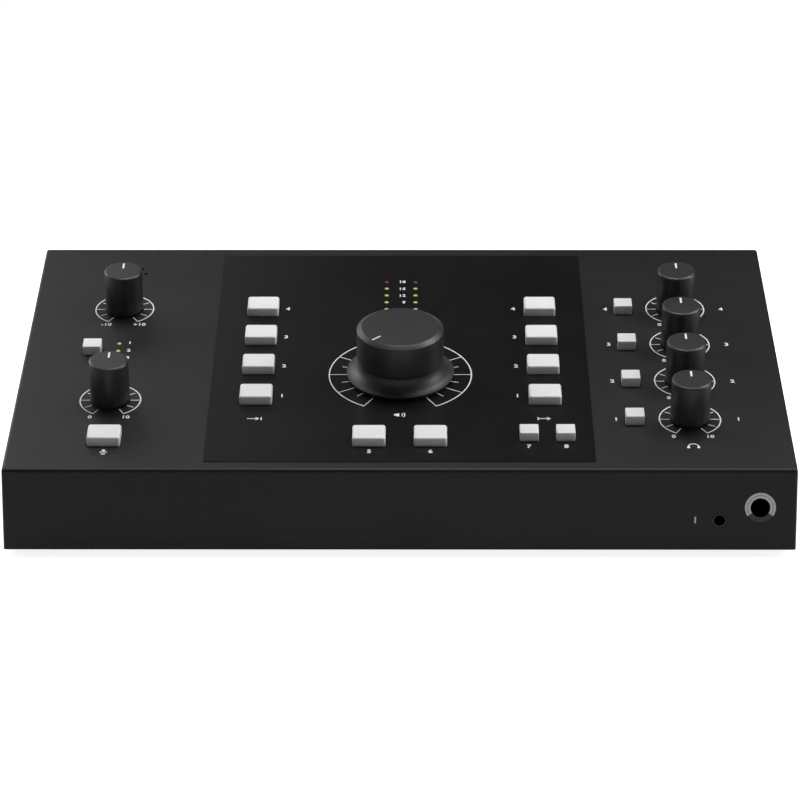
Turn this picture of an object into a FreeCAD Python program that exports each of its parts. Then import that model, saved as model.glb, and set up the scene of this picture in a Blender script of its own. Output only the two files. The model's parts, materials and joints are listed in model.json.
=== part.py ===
"""Studio monitor controller: a wedge-shaped desktop case with dials, lit meters and push buttons.

Frame: millimetres, +Z up, +X to the right of someone who faces the front, +Y to the back.
The origin is on the surface that the feet stand on, under the middle of the case.
The sloped panel has a frame of its own: across (to the right), up (along the slope from the
front bend) and height (square to the panel, 0 on the outer face of the steel).
"""
import FreeCAD, Part
import math
import os
import re
import Sketcher

Vector = FreeCAD.Vector

# Driving sizes: name, millimetres or degrees, what it is
SIZES = (
    ("case_width", 264.0, "outside width of the case"),
    ("panel_length", 155.0, "length of the sloped top, front bend to rear edge"),
    ("slope_angle", 16.0, "rise of the top towards the back, degrees"),
    ("front_height", 27.6, "height of the front face"),
    ("sheet_thick", 1.2, "steel of the cover and the base"),
    ("bend_radius", 1.4, "outside radius of the front bend"),
    ("edge_radius", 1.0, "outside radius of the side and front corners"),
    ("foot_height", 2.5, "how far the feet lift the case"),
    ("foot_radius", 6.0, "rubber foot"),
    ("foot_inset", 20.0, "foot centre from the case's outside faces"),
    ("base_gap", 0.3, "gap round the base plate inside the cover"),
    ("rear_recess", 5.0, "rear panel's face from the cover's rear edge"),
    ("rear_thick", 1.5, "rear panel sheet"),
    ("overlay_width", 130.7, "dark centre plate, across"),
    ("overlay_margin", 4.95, "sloped top beyond each end of the dark centre plate"),
    ("overlay_thick", 0.2, "dark centre plate, thickness"),
    ("overlay_corner", 0.8, "dark centre plate, corner radius"),
    ("window_gap", 0.3, "gap between a button cap and its window"),
    ("large_cap_width", 11.2, "large button cap, across"),
    ("large_cap_depth", 9.2, "large button cap, up the slope"),
    ("small_cap_width", 6.4, "small button cap, across"),
    ("small_cap_depth", 6.1, "small button cap, up the slope"),
    ("cap_height", 3.3, "cap top above the panel"),
    ("cap_skirt", 3.0, "cap bottom below the panel's outer face"),
    ("cap_round", 0.9, "cap edge radius"),
    ("cap_travel", 1.2, "button stroke"),
    ("stem_side", 3.2, "square plunger of a button"),
    ("stem_length", 7.6, "plunger end below the panel's outer face"),
    ("stem_gap", 0.2, "gap round a plunger in its switch"),
    ("stem_end_gap", 0.4, "room left under a plunger at its stroke's end"),
    ("switch_gap", 1.0, "room left between a pressed cap and its switch body"),
    ("large_switch_side", 8.5, "switch body under a large cap"),
    ("small_switch_side", 6.0, "switch body under a small cap"),
    ("board_drop", 10.0, "control board's upper face below the panel's outer face"),
    ("board_thick", 1.6, "both circuit boards"),
    ("board_left_inset", 14.0, "control board's left edge from the case's side"),
    ("board_right_inset", 22.5, "control board's right edge from the case's side"),
    ("board_front", 12.5, "control board's front edge, up the slope"),
    ("board_rear_inset", 11.0, "control board's rear edge from the top's rear edge"),
    ("post_side_inset", 50.0, "outer board posts from the case's side"),
    ("post_end_inset", 6.0, "board posts from the control board's front and rear edges"),
    ("post_inner_across", 30.0, "inner pair of board posts from the middle"),
    ("post_inner_above", 12.6, "inner pair of board posts above the main dial's centre"),
    ("post_below_dial", 23.4, "middle front board post below the main dial's centre"),
    ("dial_up", 62.4, "main dial centre, up the slope"),
    ("main_radius", 15.05, "main knob"),
    ("main_top", 19.25, "main knob's top above the panel"),
    ("main_bottom", 7.2, "main knob's lower edge above the panel"),
    ("main_bevel_in", 1.8, "main knob's bevel, inwards"),
    ("main_bevel_down", 1.0, "main knob's bevel, downwards"),
    ("main_wall", 2.0, "main knob's wall and top"),
    ("main_hub_radius", 5.4, "main knob's hub"),
    ("main_hub_gap", 0.6, "main knob's hub above the bush"),
    ("surround_radius", 18.5, "rim of the flared ring round the main knob"),
    ("surround_foot", 17.9, "foot radius of the flared ring"),
    ("surround_rim", 1.1, "rim's lower edge above the panel"),
    ("surround_top", 6.7, "flared ring's height above the panel"),
    ("surround_bore", 11.0, "flared ring's bore radius"),
    ("flare_radius", 5.0, "hollow curve of the flared ring"),
    ("flare_out", 0.9, "centre of that curve outside the ring"),
    ("small_radius", 6.5, "small knob at its top"),
    ("small_base_radius", 6.75, "small knob at its foot"),
    ("small_top", 15.9, "small knob's top above the panel"),
    ("small_bottom", 0.8, "small knob's lower edge above the panel"),
    ("small_bevel", 0.5, "small knob's rim bevel"),
    ("small_well_radius", 5.5, "hollow in the foot of a small knob"),
    ("small_well_depth", 4.0, "depth of that hollow"),
    ("shaft_radius", 3.0, "all knob shafts"),
    ("shaft_gap", 0.05, "running clearance of a shaft in its bush"),
    ("shaft_below", 6.5, "shaft end below the panel's outer face"),
    ("shaft_end_gap", 0.4, "gap under a shaft's end"),
    ("bush_radius", 3.9, "threaded bush of a potentiometer"),
    ("bush_gap", 0.2, "gap round a bush in the panel"),
    ("small_bush_top", 2.6, "small bush end above the panel"),
    ("main_bush_top", 4.4, "main bush end above the panel"),
    ("pot_top", 1.6, "potentiometer body's top below the panel's outer face"),
    ("small_pot_side", 10.0, "small potentiometer body"),
    ("main_pot_side", 16.0, "main potentiometer body"),
    ("nut_flats", 9.2, "potentiometer nut across its flats"),
    ("nut_thick", 1.6, "potentiometer nut"),
    ("headphone_inset", 33.6, "right-hand dial column from the case's side"),
    ("headphone_up", 32.6, "lowest right-hand dial, up the slope"),
    ("headphone_pitch", 25.66, "spacing of the right-hand dials"),
    ("source_offset", 18.75, "small buttons from the centres of the right-hand dials"),
    ("source_drop", 0.6, "those buttons' centres below the dials' centres"),
    ("left_inset", 32.65, "left-hand dial column from the case's side"),
    ("trim_rear_inset", 45.6, "upper left dial from the top's rear edge"),
    ("talk_up", 45.2, "lower left dial, up the slope"),
    ("talk_button_up", 19.6, "talk button, up the slope"),
    ("select_offset", 9.05, "small left button from the left-hand dials' centres"),
    ("select_up", 79.6, "small left button, up the slope"),
    ("input_across", 49.4, "left column of large buttons from the middle"),
    ("output_across", 49.7, "right column of large buttons from the middle"),
    ("column_up", 46.75, "lowest button of a column, up the slope"),
    ("column_pitch", 20.7, "spacing of a column's buttons"),
    ("pair_across", 10.33, "two large front buttons from the middle"),
    ("pair_up", 19.35, "two large front buttons, up the slope"),
    ("output_near", 43.5, "first small front button from the middle"),
    ("output_far", 55.8, "second small front button from the middle"),
    ("output_up", 21.2, "small front buttons, up the slope"),
    ("lamp_radius", 0.9, "indicator lamp"),
    ("lamp_round", 0.3, "indicator lamp's edge radius"),
    ("lamp_gap", 0.1, "gap round a lamp"),
    ("lamp_proud", 0.05, "lamp's flat above the surface round it"),
    ("meter_across", 5.2, "meter columns from the middle"),
    ("meter_rear_inset", 25.3, "top meter lamp from the top's rear edge"),
    ("meter_pitch", 5.11, "spacing of the meter lamps"),
    ("select_lamp_up", 84.5, "top lamp of the left column, up the slope"),
    ("select_lamp_pitch", 5.2, "spacing of the left lamps"),
    ("mic_rear_inset", 18.7, "microphone centre from the top's rear edge"),
    ("mic_ring", 5.7, "outer ring of microphone holes"),
    ("mic_inner_ring", 2.9, "inner ring of microphone holes"),
    ("mic_hole", 0.6, "microphone hole radius"),
    ("mic_radius", 7.0, "microphone capsule"),
    ("mic_depth", 6.5, "microphone capsule's depth"),
    ("jack_inset", 12.25, "large front socket from the case's side"),
    ("jack_up", 14.6, "large front socket above the case's underside"),
    ("jack_bore", 3.25, "bore radius of every large socket"),
    ("jack_ring", 5.15, "grey ring of the large front socket"),
    ("jack_sleeve", 4.3, "sleeve inside the grey ring"),
    ("jack_proud", 0.1, "front sockets' rings in front of the face"),
    ("mini_offset", 13.45, "small front socket from the large one"),
    ("mini_up", 10.2, "small front socket above the case's underside"),
    ("mini_bore", 1.85, "bore radius of the small front socket"),
    ("mini_ring", 2.45, "ring of the small front socket"),
    ("front_jack_depth", 16.0, "bore depth of the front sockets"),
    ("jack_back", 2.0, "closed end behind a socket's bore"),
    ("jack_body_side", 13.0, "large socket bodies, across and high"),
    ("mini_body_side", 6.6, "small socket body, across and high"),
    ("hole_gap", 0.2, "gap round a socket in the sheet"),
    ("rear_jack_inset", 17.0, "first rear socket from the case's side"),
    ("rear_jack_pitch", 16.0, "spacing of the rear sockets, across"),
    ("rear_low_row", 17.5, "lower rear row above the case's underside"),
    ("rear_high_row", 38.5, "upper rear row above the case's underside"),
    ("rear_bush_radius", 5.6, "threaded bush of a rear socket"),
    ("rear_bush_proud", 3.6, "rear bush behind the rear panel's face"),
    ("rear_jack_depth", 16.0, "bore depth of a rear socket's body"),
    ("rear_nut_flats", 14.0, "rear socket nut across its flats"),
    ("rear_nut_thick", 2.0, "rear socket nut"),
    ("phono_offset", 22.0, "first phono column from the last large rear socket"),
    ("phono_pitch", 19.0, "second phono column from the first"),
    ("phono_radius", 4.1, "phono socket shell"),
    ("phono_bore", 3.2, "phono socket's inside radius"),
    ("phono_pin", 0.9, "phono socket's centre tube"),
    ("phono_depth", 8.0, "phono socket's inside depth"),
    ("optical_width", 9.4, "optical socket across"),
    ("optical_height", 9.6, "optical socket high"),
    ("optical_opening", 6.0, "optical socket's square mouth"),
    ("optical_depth", 8.0, "optical socket's inside depth"),
    ("moulding_proud", 0.6, "optical socket and power inlet behind the rear panel's face"),
    ("inlet_inset", 24.0, "power inlet and power button from the case's side"),
    ("inlet_width", 9.2, "power inlet across"),
    ("inlet_height", 11.0, "power inlet high"),
    ("inlet_bore", 3.0, "power inlet's bore"),
    ("inlet_pin", 0.9, "power inlet's pin"),
    ("inlet_depth", 10.4, "power inlet's inside depth"),
    ("inlet_pin_drop", 1.0, "power inlet's pin end inside its mouth"),
    ("power_side", 8.0, "power button across and high"),
    ("power_proud", 3.8, "power button behind the rear panel's face"),
    ("power_travel", 2.4, "power button stroke"),
    ("power_back", 1.0, "power button's foot behind the rear sheet"),
    ("power_stem", 5.4, "power button's plunger"),
    ("power_gap", 0.4, "room left under the power button at its stroke's end"),
    ("power_depth", 14.0, "power switch body"),
    ("power_body_side", 12.0, "power switch body, across and high"),
    ("audio_lift", 5.0, "audio board above the base plate"),
    ("audio_side_inset", 14.0, "audio board's side edges from the case's sides"),
    ("audio_front", 22.0, "audio board's front edge from the case's front"),
    ("audio_rear_inset", 31.0, "audio board's rear edge from the case's rear edge"),
    ("audio_post_inset", 8.0, "audio board's posts from its edges"),
    ("post_radius", 2.6, "board posts"),
    ("post_bore", 1.35, "bore of a board post"),
    ("screw_radius", 1.25, "board and case screws"),
    ("screw_head_radius", 2.7, "screw heads"),
    ("screw_head_thick", 1.7, "screw heads"),
    ("screw_length", 6.0, "screw shank under its head"),
    ("screw_gap", 0.1, "gap round a screw in its hole"),
    ("base_screw_front", 34.0, "front base screws from the case's front"),
    ("base_screw_middle", 8.0, "middle base screws behind the case's middle"),
    ("base_screw_rear", 24.0, "rear base screws from the rear panel"),
    ("rear_screw_drop", 20.0, "upper rear screws below the case's rear edge"),
    ("foot_seat", 0.6, "rubber under a foot's screw head, and the head above the floor"),
    ("foot_taper", 0.6, "foot's radius lost towards the floor"),
    ("foot_head_gap", 0.2, "gap round a foot's screw head"),
    ("foot_screw_end", 2.0, "foot's screw end above the base plate"),
    ("block_side", 8.0, "threaded block inside a case corner"),
    ("ribbon_width", 26.0, "ribbon cable"),
    ("ribbon_thick", 1.3, "ribbon cable"),
    ("ribbon_bow", 9.0, "how far the ribbon bows forward"),
    ("ribbon_place", 74.0, "ribbon cable from the case's front"),
)

COLUMN_COUNT = 4
METER_GREEN_COUNT = 4
METER_COUNT = 5
SELECT_LAMP_COUNT = 4
MIC_RING_COUNT = 9
MIC_INNER_COUNT = 4
REAR_COLUMNS = 9

# How far a cutting outline runs past what it cuts, and how near two places count as one
PAST = "1"
NEAR = 0.01

doc = FreeCAD.newDocument("MonitorController")
sheet = doc.addObject("Spreadsheet::Sheet", "Sizes")
for row, (alias, value, note) in enumerate(SIZES, start=1):
    sheet.set(f"A{row}", note)
    sheet.set(f"B{row}", str(value))
    sheet.setAlias(f"B{row}", alias)
doc.recompute()

ALIASES = {alias for alias, _value, _note in SIZES}
WORD = re.compile(r"[a-z_]+")
labelled = []


def bound(expression):
    """Return the expression with every size name pointing at the sheet."""
    def tied(word):
        return "Sizes." + word.group() if word.group() in ALIASES else word.group()

    return WORD.sub(tied, expression)


def size(expression):
    """Return the present value of an expression in size names."""
    return float(sheet.evalExpression(bound(str(expression))))


def keep(feature, label):
    """Give a finished sub-part the label that names its file."""
    feature.Label = label
    labelled.append(feature)
    return feature


def at(x, y, z):
    """Return an unturned placement at a point given in size names."""
    return FreeCAD.Placement(Vector(size(x), size(y), size(z)), FreeCAD.Rotation())


CASE_DEPTH = "(panel_length * cos(slope_angle))"
FRONT_FACE = "(-panel_length * cos(slope_angle) / 2)"
REAR_EDGE = "(panel_length * cos(slope_angle) / 2)"
REAR_FACE = f"({REAR_EDGE} - rear_recess)"
FRONT_TOP = "(foot_height + front_height)"
REAR_TOP = f"({FRONT_TOP} + panel_length * sin(slope_angle))"
UNDER_DROP = "(sheet_thick / cos(slope_angle))"

PANEL = FreeCAD.Placement(
    Vector(0, size(FRONT_FACE), size(FRONT_TOP)),
    FreeCAD.Rotation(Vector(1, 0, 0), size("slope_angle")),
)
FACING_BACK = FreeCAD.Rotation(Vector(1, 0, 0), -90)


def on_panel(across, up, height="0"):
    """Return the placement of a point of the sloped panel, turned with it."""
    return PANEL.multiply(at(across, up, height))


# Sketches, pads and turned forms


def new_body(name, placement=None):
    """Start a body, placed in the case or on the panel."""
    body = doc.addObject("PartDesign::Body", name)
    if placement is not None:
        body.Placement = placement
    return body


def new_sketch(body, name, plane="XY_Plane", lift=None, offset=None):
    """Put a sketch on one of the body's own planes, raised or moved from it."""
    sketch = body.newObject("Sketcher::SketchObject", name)
    origin_plane = next(item for item in body.Origin.OriginFeatures if item.Role == plane)
    sketch.AttachmentSupport = (origin_plane, [""])
    sketch.MapMode = "FlatFace"
    if offset is not None:
        sketch.AttachmentOffset = offset
    if lift is not None:
        sketch.setExpression("AttachmentOffset.Base.z", bound(lift))
    return sketch


def hold(sketch, kind, vertex, expression):
    """Tie one coordinate of a sketch vertex to the sheet."""
    geometry, end = vertex
    index = sketch.addConstraint(Sketcher.Constraint(kind, -1, 1, geometry, end, size(expression)))
    sketch.setExpression(f"Constraints[{index}]", bound(expression))


def draw_outline(sketch, points):
    """Draw a closed outline of straight edges, each corner tied to the sheet."""
    first = sketch.GeometryCount
    places = [Vector(size(x), size(y), 0) for x, y in points]
    count = len(places)
    for index, place in enumerate(places):
        sketch.addGeometry(Part.LineSegment(place, places[(index + 1) % count]), False)
    for index in range(count):
        following = first + (index + 1) % count
        sketch.addConstraint(Sketcher.Constraint("Coincident", first + index, 2, following, 1))
    for index, (x, y) in enumerate(points):
        hold(sketch, "DistanceX", (first + index, 1), x)
        hold(sketch, "DistanceY", (first + index, 1), y)


def draw_rectangle(sketch, width, depth, x="0", y="0"):
    """Draw a rectangle about a centre."""
    left, right = f"{x} - ({width}) / 2", f"{x} + ({width}) / 2"
    low, high = f"{y} - ({depth}) / 2", f"{y} + ({depth}) / 2"
    draw_outline(sketch, ((left, low), (right, low), (right, high), (left, high)))


def draw_circle(sketch, radius, x="0", y="0"):
    """Draw a circle whose radius and centre are tied to the sheet."""
    circle = Part.Circle(Vector(size(x), size(y), 0), Vector(0, 0, 1), size(radius))
    index = sketch.addGeometry(circle, False)
    tie = sketch.addConstraint(Sketcher.Constraint("Radius", index, size(radius)))
    sketch.setExpression(f"Constraints[{tie}]", bound(radius))
    hold(sketch, "DistanceX", (index, 3), x)
    hold(sketch, "DistanceY", (index, 3), y)


def pad(body, sketch, length, midplane=False, down=False):
    """Raise a sketch into a solid."""
    feature = body.newObject("PartDesign::Pad", sketch.Name + "_pad")
    feature.Profile = sketch
    feature.Midplane = midplane
    feature.Reversed = down
    feature.setExpression("Length", bound(length))
    doc.recompute()
    return feature


def pocket(body, sketch, length, midplane=False, up=False):
    """Cut a sketch out of the body, and make sure that it cuts something."""
    before = body.Shape.Volume
    feature = body.newObject("PartDesign::Pocket", sketch.Name + "_pocket")
    feature.Profile = sketch
    feature.Midplane = midplane
    feature.Reversed = up
    feature.setExpression("Length", bound(length))
    doc.recompute()
    if body.Shape.Volume >= before:
        raise RuntimeError(f"{feature.Name} cuts nothing")
    return feature


def turn(body, sketch):
    """Turn a sketch right round the body's own upright axis."""
    feature = body.newObject("PartDesign::Revolution", sketch.Name + "_turned")
    feature.Profile = sketch
    feature.ReferenceAxis = (sketch, ["V_Axis"])
    feature.Angle = 360
    doc.recompute()
    return feature


def groove(body, sketch):
    """Cut a sketch out of the body right round its upright axis."""
    before = body.Shape.Volume
    feature = body.newObject("PartDesign::Groove", sketch.Name + "_groove")
    feature.Profile = sketch
    feature.ReferenceAxis = (sketch, ["V_Axis"])
    feature.Angle = 360
    doc.recompute()
    if body.Shape.Volume >= before:
        raise RuntimeError(f"{feature.Name} cuts nothing")
    return feature


def round_edges(body, base, radius, chosen):
    """Round the edges of a feature for which chosen(edge) is true."""
    names = [f"Edge{number}" for number, edge in enumerate(base.Shape.Edges, start=1) if chosen(edge)]
    feature = body.newObject("PartDesign::Fillet", base.Name + "_round")
    feature.Base = (base, names)
    feature.setExpression("Radius", bound(radius))
    doc.recompute()
    return feature


def runs_along(edge, direction):
    """Say whether a straight edge lies along a direction."""
    if edge.Curve.TypeId != "Part::GeomLine":
        return False
    return abs(edge.tangentAt(edge.FirstParameter).dot(direction)) > 0.999


def primitive(kind, name, sizes, placement):
    """Make a Part primitive with its sizes bound to the sheet."""
    feature = doc.addObject(kind, name)
    for field, expression in sizes.items():
        feature.setExpression(field, bound(expression))
    feature.Placement = placement
    doc.recompute()
    return feature


def block(name, width, depth, height, placement):
    """Make a block centred across and along, standing on its placement."""
    centred = placement.multiply(at(f"-({width}) / 2", f"-({depth}) / 2", "0"))
    return primitive("Part::Box", name, {"Length": width, "Width": depth, "Height": height}, centred)


def rod(name, radius, height, placement):
    """Make a round bar standing on its placement."""
    return primitive("Part::Cylinder", name, {"Radius": radius, "Height": height}, placement)


def cut(name, base, tool):
    """Cut one feature out of another."""
    feature = doc.addObject("Part::Cut", name)
    feature.Base = base
    feature.Tool = tool
    doc.recompute()
    return feature


def fuse(name, *pieces):
    """Join touching features into one solid."""
    feature = doc.addObject("Part::MultiFuse", name)
    feature.Shapes = list(pieces)
    feature.Refine = True
    doc.recompute()
    return feature


def group(label, template, placements):
    """Repeat a template's solid at each placement, as separate solids of one node."""
    solids = []
    for placement in placements:
        solid = template.Shape.copy()
        solid.Placement = placement.multiply(solid.Placement)
        solids.append(solid)
    feature = doc.addObject("Part::Feature", label)
    feature.Shape = Part.makeCompound(solids)
    return keep(feature, label)


# Places on the panel, across and up the slope, in size names

MAIN_DIAL = ("0", "dial_up")
LEFT_DIALS = "(left_inset - case_width / 2)"
RIGHT_DIALS = "(case_width / 2 - headphone_inset)"
SMALL_DIALS = {
    "trim_knob": (LEFT_DIALS, "panel_length - trim_rear_inset"),
    "talkback_knob": (LEFT_DIALS, "talk_up"),
}
for number in range(COLUMN_COUNT):
    SMALL_DIALS[f"headphone_knob_{number + 1}"] = (
        RIGHT_DIALS,
        f"headphone_up + {number} * headphone_pitch",
    )

LARGE_BUTTONS = {
    "dim_button": ("-pair_across", "pair_up"),
    "cut_button": ("pair_across", "pair_up"),
    "talk_button": (LEFT_DIALS, "talk_button_up"),
}
for number in range(COLUMN_COUNT):
    place = f"column_up + {number} * column_pitch"
    LARGE_BUTTONS[f"input_button_{number + 1}"] = ("-input_across", place)
    LARGE_BUTTONS[f"output_button_{number + 1}"] = ("output_across", place)

SMALL_BUTTONS = {
    "polarity_button": ("output_near", "output_up"),
    "mono_button": ("output_far", "output_up"),
    "select_button": (f"{LEFT_DIALS} - select_offset", "select_up"),
}
for number in range(COLUMN_COUNT):
    SMALL_BUTTONS[f"source_button_{number + 1}"] = (
        f"{RIGHT_DIALS} - source_offset",
        f"headphone_up - source_drop + {number} * headphone_pitch",
    )

TOP_METER_LAMP = "panel_length - meter_rear_inset"
METER_LAMPS = [
    (f"{side} * meter_across", f"{TOP_METER_LAMP} - {METER_COUNT - 1 - row} * meter_pitch")
    for side in (-1, 1)
    for row in range(METER_COUNT)
]
GREEN_METER_LAMPS = METER_LAMPS[:METER_GREEN_COUNT] + METER_LAMPS[METER_COUNT:METER_COUNT + METER_GREEN_COUNT]
RED_METER_LAMPS = [place for place in METER_LAMPS if place not in GREEN_METER_LAMPS]
SELECT_LAMPS = [
    (LEFT_DIALS, f"select_lamp_up - {row} * select_lamp_pitch") for row in range(SELECT_LAMP_COUNT)
]
MIC_UP = "(panel_length - mic_rear_inset)"
MIC_HOLES = [(LEFT_DIALS, MIC_UP)]
for ring, count in (("mic_ring", MIC_RING_COUNT), ("mic_inner_ring", MIC_INNER_COUNT)):
    for index in range(count):
        turned = index * 360 / count
        MIC_HOLES.append((
            f"{LEFT_DIALS} + {ring} * cos({turned:g})",
            f"{MIC_UP} + {ring} * sin({turned:g})",
        ))

FRONT_JACK = ("case_width / 2 - jack_inset", "foot_height + jack_up")
MINI_JACK = ("case_width / 2 - jack_inset - mini_offset", "foot_height + mini_up")
REAR_ROWS = ("foot_height + rear_low_row", "foot_height + rear_high_row")
REAR_FIRST = "(rear_jack_inset - case_width / 2)"
PHONO_FIRST = f"({REAR_FIRST} + {REAR_COLUMNS - 1} * rear_jack_pitch + phono_offset)"
REAR_JACKS = [
    (f"{REAR_FIRST} + {column} * rear_jack_pitch", row)
    for row in REAR_ROWS
    for column in range(REAR_COLUMNS)
]
PHONO_SOCKETS = (
    (PHONO_FIRST, REAR_ROWS[0]),
    (PHONO_FIRST, REAR_ROWS[1]),
    (f"{PHONO_FIRST} + phono_pitch", REAR_ROWS[0]),
)
OPTICAL_SOCKET = (f"{PHONO_FIRST} + phono_pitch", REAR_ROWS[1])
POWER_INLET = ("case_width / 2 - inlet_inset", REAR_ROWS[0])
POWER_BUTTON = ("case_width / 2 - inlet_inset", REAR_ROWS[1])

# Folded steel cover: front, sides and sloped top in one sheet, open below and behind


def side_outline(front, rear, below, drop):
    """Return the wedge's outline seen from the side, its top lowered by a drop."""
    slope = "tan(slope_angle)"
    return (
        (front, below),
        (rear, below),
        (rear, f"{FRONT_TOP} - {drop} + ({rear} - {FRONT_FACE}) * {slope}"),
        (front, f"{FRONT_TOP} - {drop} + ({front} - {FRONT_FACE}) * {slope}"),
    )


def draw_button_windows(sketch):
    """Draw one window round the cap of every push button."""
    for buttons, width, depth in (
        (LARGE_BUTTONS, "large_cap_width", "large_cap_depth"),
        (SMALL_BUTTONS, "small_cap_width", "small_cap_depth"),
    ):
        for across, up in buttons.values():
            draw_rectangle(sketch, f"{width} + 2 * window_gap", f"{depth} + 2 * window_gap", across, up)


def make_top_cover():
    """Build the cover with its windows, shaft holes, lamp holes and front sockets' holes."""
    body = new_body("cover")
    shell = new_sketch(body, "cover_side", "YZ_Plane")
    draw_outline(shell, side_outline(FRONT_FACE, REAR_EDGE, "foot_height", "0"))
    solid = pad(body, shell, "case_width", midplane=True)
    front, front_top = size(FRONT_FACE), size(FRONT_TOP)

    def is_front_bend(edge):
        middle = edge.CenterOfMass
        return abs(middle.y - front) < NEAR and abs(middle.z - front_top) < NEAR

    solid = round_edges(body, solid, "bend_radius", is_front_bend)
    side = size("case_width / 2")

    def is_side_corner(edge):
        middle = edge.CenterOfMass
        at_side = abs(abs(middle.x) - side) < NEAR
        behind = abs(middle.y - size(REAR_EDGE)) < NEAR
        below = abs(edge.BoundBox.ZMax - size("foot_height")) < NEAR
        return at_side and not behind and not below

    round_edges(body, solid, "edge_radius", is_side_corner)
    hollow = new_sketch(body, "cover_hollow", "YZ_Plane")
    inside_front = f"({FRONT_FACE} + sheet_thick)"
    outline = side_outline(inside_front, f"({REAR_EDGE} + {PAST})", f"foot_height - {PAST}", UNDER_DROP)
    draw_outline(hollow, outline)
    pocket(body, hollow, "case_width - 2 * sheet_thick", midplane=True)

    windows = new_sketch(body, "cover_windows", offset=PANEL)
    draw_button_windows(windows)
    for across, up in (MAIN_DIAL, *SMALL_DIALS.values()):
        draw_circle(windows, "bush_radius + bush_gap", across, up)
    for across, up in METER_LAMPS + SELECT_LAMPS:
        draw_circle(windows, "lamp_radius + lamp_gap", across, up)
    for across, up in MIC_HOLES:
        draw_circle(windows, "mic_hole", across, up)
    pocket(body, windows, "2 * sheet_thick")

    front_holes = new_sketch(body, "cover_front_holes", "XZ_Plane", lift=f"-{FRONT_FACE}")
    draw_circle(front_holes, "jack_ring + hole_gap", *FRONT_JACK)
    draw_circle(front_holes, "mini_ring + hole_gap", *MINI_JACK)
    pocket(body, front_holes, "2 * sheet_thick")
    keep(body, "top_cover")


def make_base_plate():
    """Build the base sheet that closes the case from below."""
    body = new_body("base")
    outline = new_sketch(body, "base_outline", lift="foot_height")
    draw_rectangle(
        outline,
        "case_width - 2 * sheet_thick - 2 * base_gap",
        f"{CASE_DEPTH} - sheet_thick - 2 * base_gap",
        y="sheet_thick / 2",
    )
    pad(body, outline, "sheet_thick")
    holes = new_sketch(body, "base_holes", lift="foot_height + sheet_thick")
    for x, y in BASE_SCREWS + FEET:
        draw_circle(holes, "screw_radius + screw_gap", x, y)
    pocket(body, holes, "2 * sheet_thick")
    keep(body, "base_plate")


def make_rear_panel():
    """Build the rear sheet with a hole for every socket."""
    body = new_body("rear")
    lowest = "(foot_height + sheet_thick)"
    rise = f"({REAR_FACE} - rear_thick - {FRONT_FACE}) * tan(slope_angle)"
    highest = f"({FRONT_TOP} + {rise} - {UNDER_DROP} - base_gap)"
    outline = new_sketch(body, "rear_outline", "XZ_Plane", lift=f"-{REAR_FACE}")
    draw_rectangle(
        outline,
        "case_width - 2 * sheet_thick - 2 * base_gap",
        f"{highest} - {lowest}",
        y=f"({highest} + {lowest}) / 2",
    )
    pad(body, outline, "rear_thick")
    holes = new_sketch(body, "rear_holes", "XZ_Plane", lift=f"-{REAR_FACE}")
    for across, up in REAR_JACKS:
        draw_circle(holes, "rear_bush_radius + hole_gap", across, up)
    for across, up in PHONO_SOCKETS:
        draw_circle(holes, "phono_radius + hole_gap", across, up)
    draw_rectangle(holes, "optical_width + 2 * hole_gap", "optical_height + 2 * hole_gap", *OPTICAL_SOCKET)
    draw_rectangle(holes, "inlet_width + 2 * hole_gap", "inlet_height + 2 * hole_gap", *POWER_INLET)
    draw_rectangle(holes, "power_side + 2 * window_gap", "power_side + 2 * window_gap", *POWER_BUTTON)
    for x, z in REAR_SCREWS:
        draw_circle(holes, "screw_radius + screw_gap", x, z)
    pocket(body, holes, "2 * rear_thick", up=True)
    keep(body, "rear_panel")


def make_overlay():
    """Build the dark centre plate with its windows."""
    body = new_body("overlay", PANEL)
    outline = new_sketch(body, "overlay_outline")
    draw_rectangle(outline, "overlay_width", "panel_length - 2 * overlay_margin", y="panel_length / 2")
    plate = pad(body, outline, "overlay_thick")
    round_edges(body, plate, "overlay_corner", lambda edge: runs_along(edge, Vector(0, 0, 1)))
    windows = new_sketch(body, "overlay_windows", lift="overlay_thick")
    draw_button_windows(windows)
    draw_circle(windows, "surround_bore", *MAIN_DIAL)
    for across, up in METER_LAMPS:
        draw_circle(windows, "lamp_radius + lamp_gap", across, up)
    pocket(body, windows, "2 * overlay_thick")
    keep(body, "centre_overlay")


# Knobs, each with the shaft that it turns


def make_main_knob():
    """Build the large knob: bevelled cap, hollow below, with a hub on the shaft."""
    place = on_panel(*MAIN_DIAL)
    body = new_body("large_knob", place)
    outline = new_sketch(body, "large_knob_outline", "XZ_Plane")
    inner = "main_radius - main_wall"
    hub_foot = "main_bush_top + main_hub_gap"
    draw_outline(outline, (
        ("shaft_radius", hub_foot),
        ("main_hub_radius", hub_foot),
        ("main_hub_radius", "main_top - main_wall"),
        (inner, "main_top - main_wall"),
        (inner, "main_bottom"),
        ("main_radius", "main_bottom"),
        ("main_radius", "main_top - main_bevel_down"),
        ("main_radius - main_bevel_in", "main_top"),
        ("0", "main_top"),
        ("0", "main_top - main_wall"),
        ("shaft_radius", "main_top - main_wall"),
    ))
    turn(body, outline)
    keep(body, "main_knob")
    shaft_foot = on_panel(*MAIN_DIAL, "-shaft_below")
    shaft = rod("large_shaft", "shaft_radius", "main_top - main_wall + shaft_below", shaft_foot)
    keep(shaft, "main_shaft")


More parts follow.
